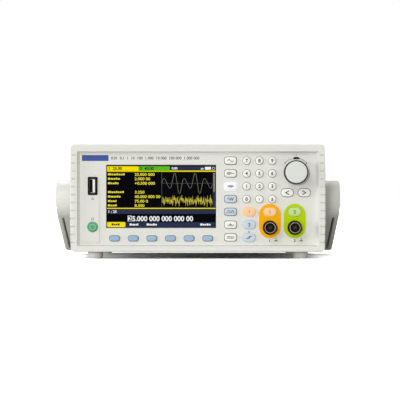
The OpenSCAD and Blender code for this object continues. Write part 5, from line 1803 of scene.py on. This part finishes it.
@dataclass
class Survey:
    """Compares where things show with the image points."""

    view: Viewpoint

    def seen(self, piece: bpy.types.Object) -> Line:
        """Project a piece's vertices.

        Args:
            piece: A finished piece or a CAD node.

        Returns:
            The image x and y of each vertex.
        """
        return [self.view.project(piece.matrix_world @ vertex.co) for vertex in piece.data.vertices]

    def edge(self, name: str, piece: bpy.types.Object, pick: Callable, axis: int) -> dict[str, float]:
        """Measure how far an edge shows from its point.

        Args:
            name: The point's name.
            piece: The piece whose edge it is.
            pick: min or max.
            axis: 0 for x, 1 for y.

        Returns:
            The distance along that axis in the photograph's pixels.
        """
        off = pick(point[axis] for point in self.seen(piece)) - IMAGE_POINTS[name]
        return {"xy"[axis]: round(off, 2)}

    def centre(self, name: str, piece: bpy.types.Object) -> dict[str, float]:
        """Measure how far the middle of a piece shows from its point.

        Args:
            name: The point's name.
            piece: The piece.

        Returns:
            The distances along x and y in the photograph's pixels.
        """
        points = self.seen(piece)
        middles = [(min(p[i] for p in points) + max(p[i] for p in points)) / 2 for i in (0, 1)]
        return {"xy"[i]: round(middles[i] - IMAGE_POINTS[name][i], 2) for i in (0, 1)}

    def write(self, pieces: dict[str, bpy.types.Object]) -> None:
        """Args:
            pieces: The finished pieces by the names of their points.
        """
        nodes = frame["nodes"]
        offs = {
            "bezel_left": self.edge("bezel_left", nodes["front_bezel"], min, 0),
            "bezel_right": self.edge("bezel_right", nodes["front_bezel"], max, 0),
            "bezel_top": self.edge("bezel_top", nodes["front_bezel"], min, 1),
            "feet_bottom": self.edge("feet_bottom", nodes["feet"], max, 1),
            "handle_left": self.edge("handle_left", pieces["handle"], min, 0),
            "handle_right": self.edge("handle_right", pieces["handle"], max, 0),
            "screen_left": self.edge("screen_left", nodes["display_window"], min, 0),
            "screen_right": self.edge("screen_right", nodes["display_window"], max, 0),
        }
        for name, piece in pieces.items():
            if name in IMAGE_POINTS:
                offs[name] = self.centre(name, piece)
        for name, off in offs.items():
            LOG.info("point %s is off by %s", name, off)


def main() -> None:
    """Build every sub-assembly in order, then the stage, and write the measurements."""
    logging.basicConfig(level=logging.INFO, format="%(message)s")
    view = Viewpoint.fitted()
    view.build()
    dress_nodes()
    Keypad().build()
    Display().build()
    pieces = {"knob_centre": Knob().build()}
    jacks = Outputs().build()
    pieces.update({"output_1_jack": jacks[0], "output_2_jack": jacks[1],
                   "socket_centre": HostSocket().build(), "power_centre": frame["nodes"]["power_button"]})
    pieces.update(PanelPrint(view, frame["nodes"]["front_panel"]).build())
    Grip().build()
    pieces["handle"] = Handle().build()
    Stage().build()
    Survey(view).write(pieces)


if __name__ == "__main__":
    main()
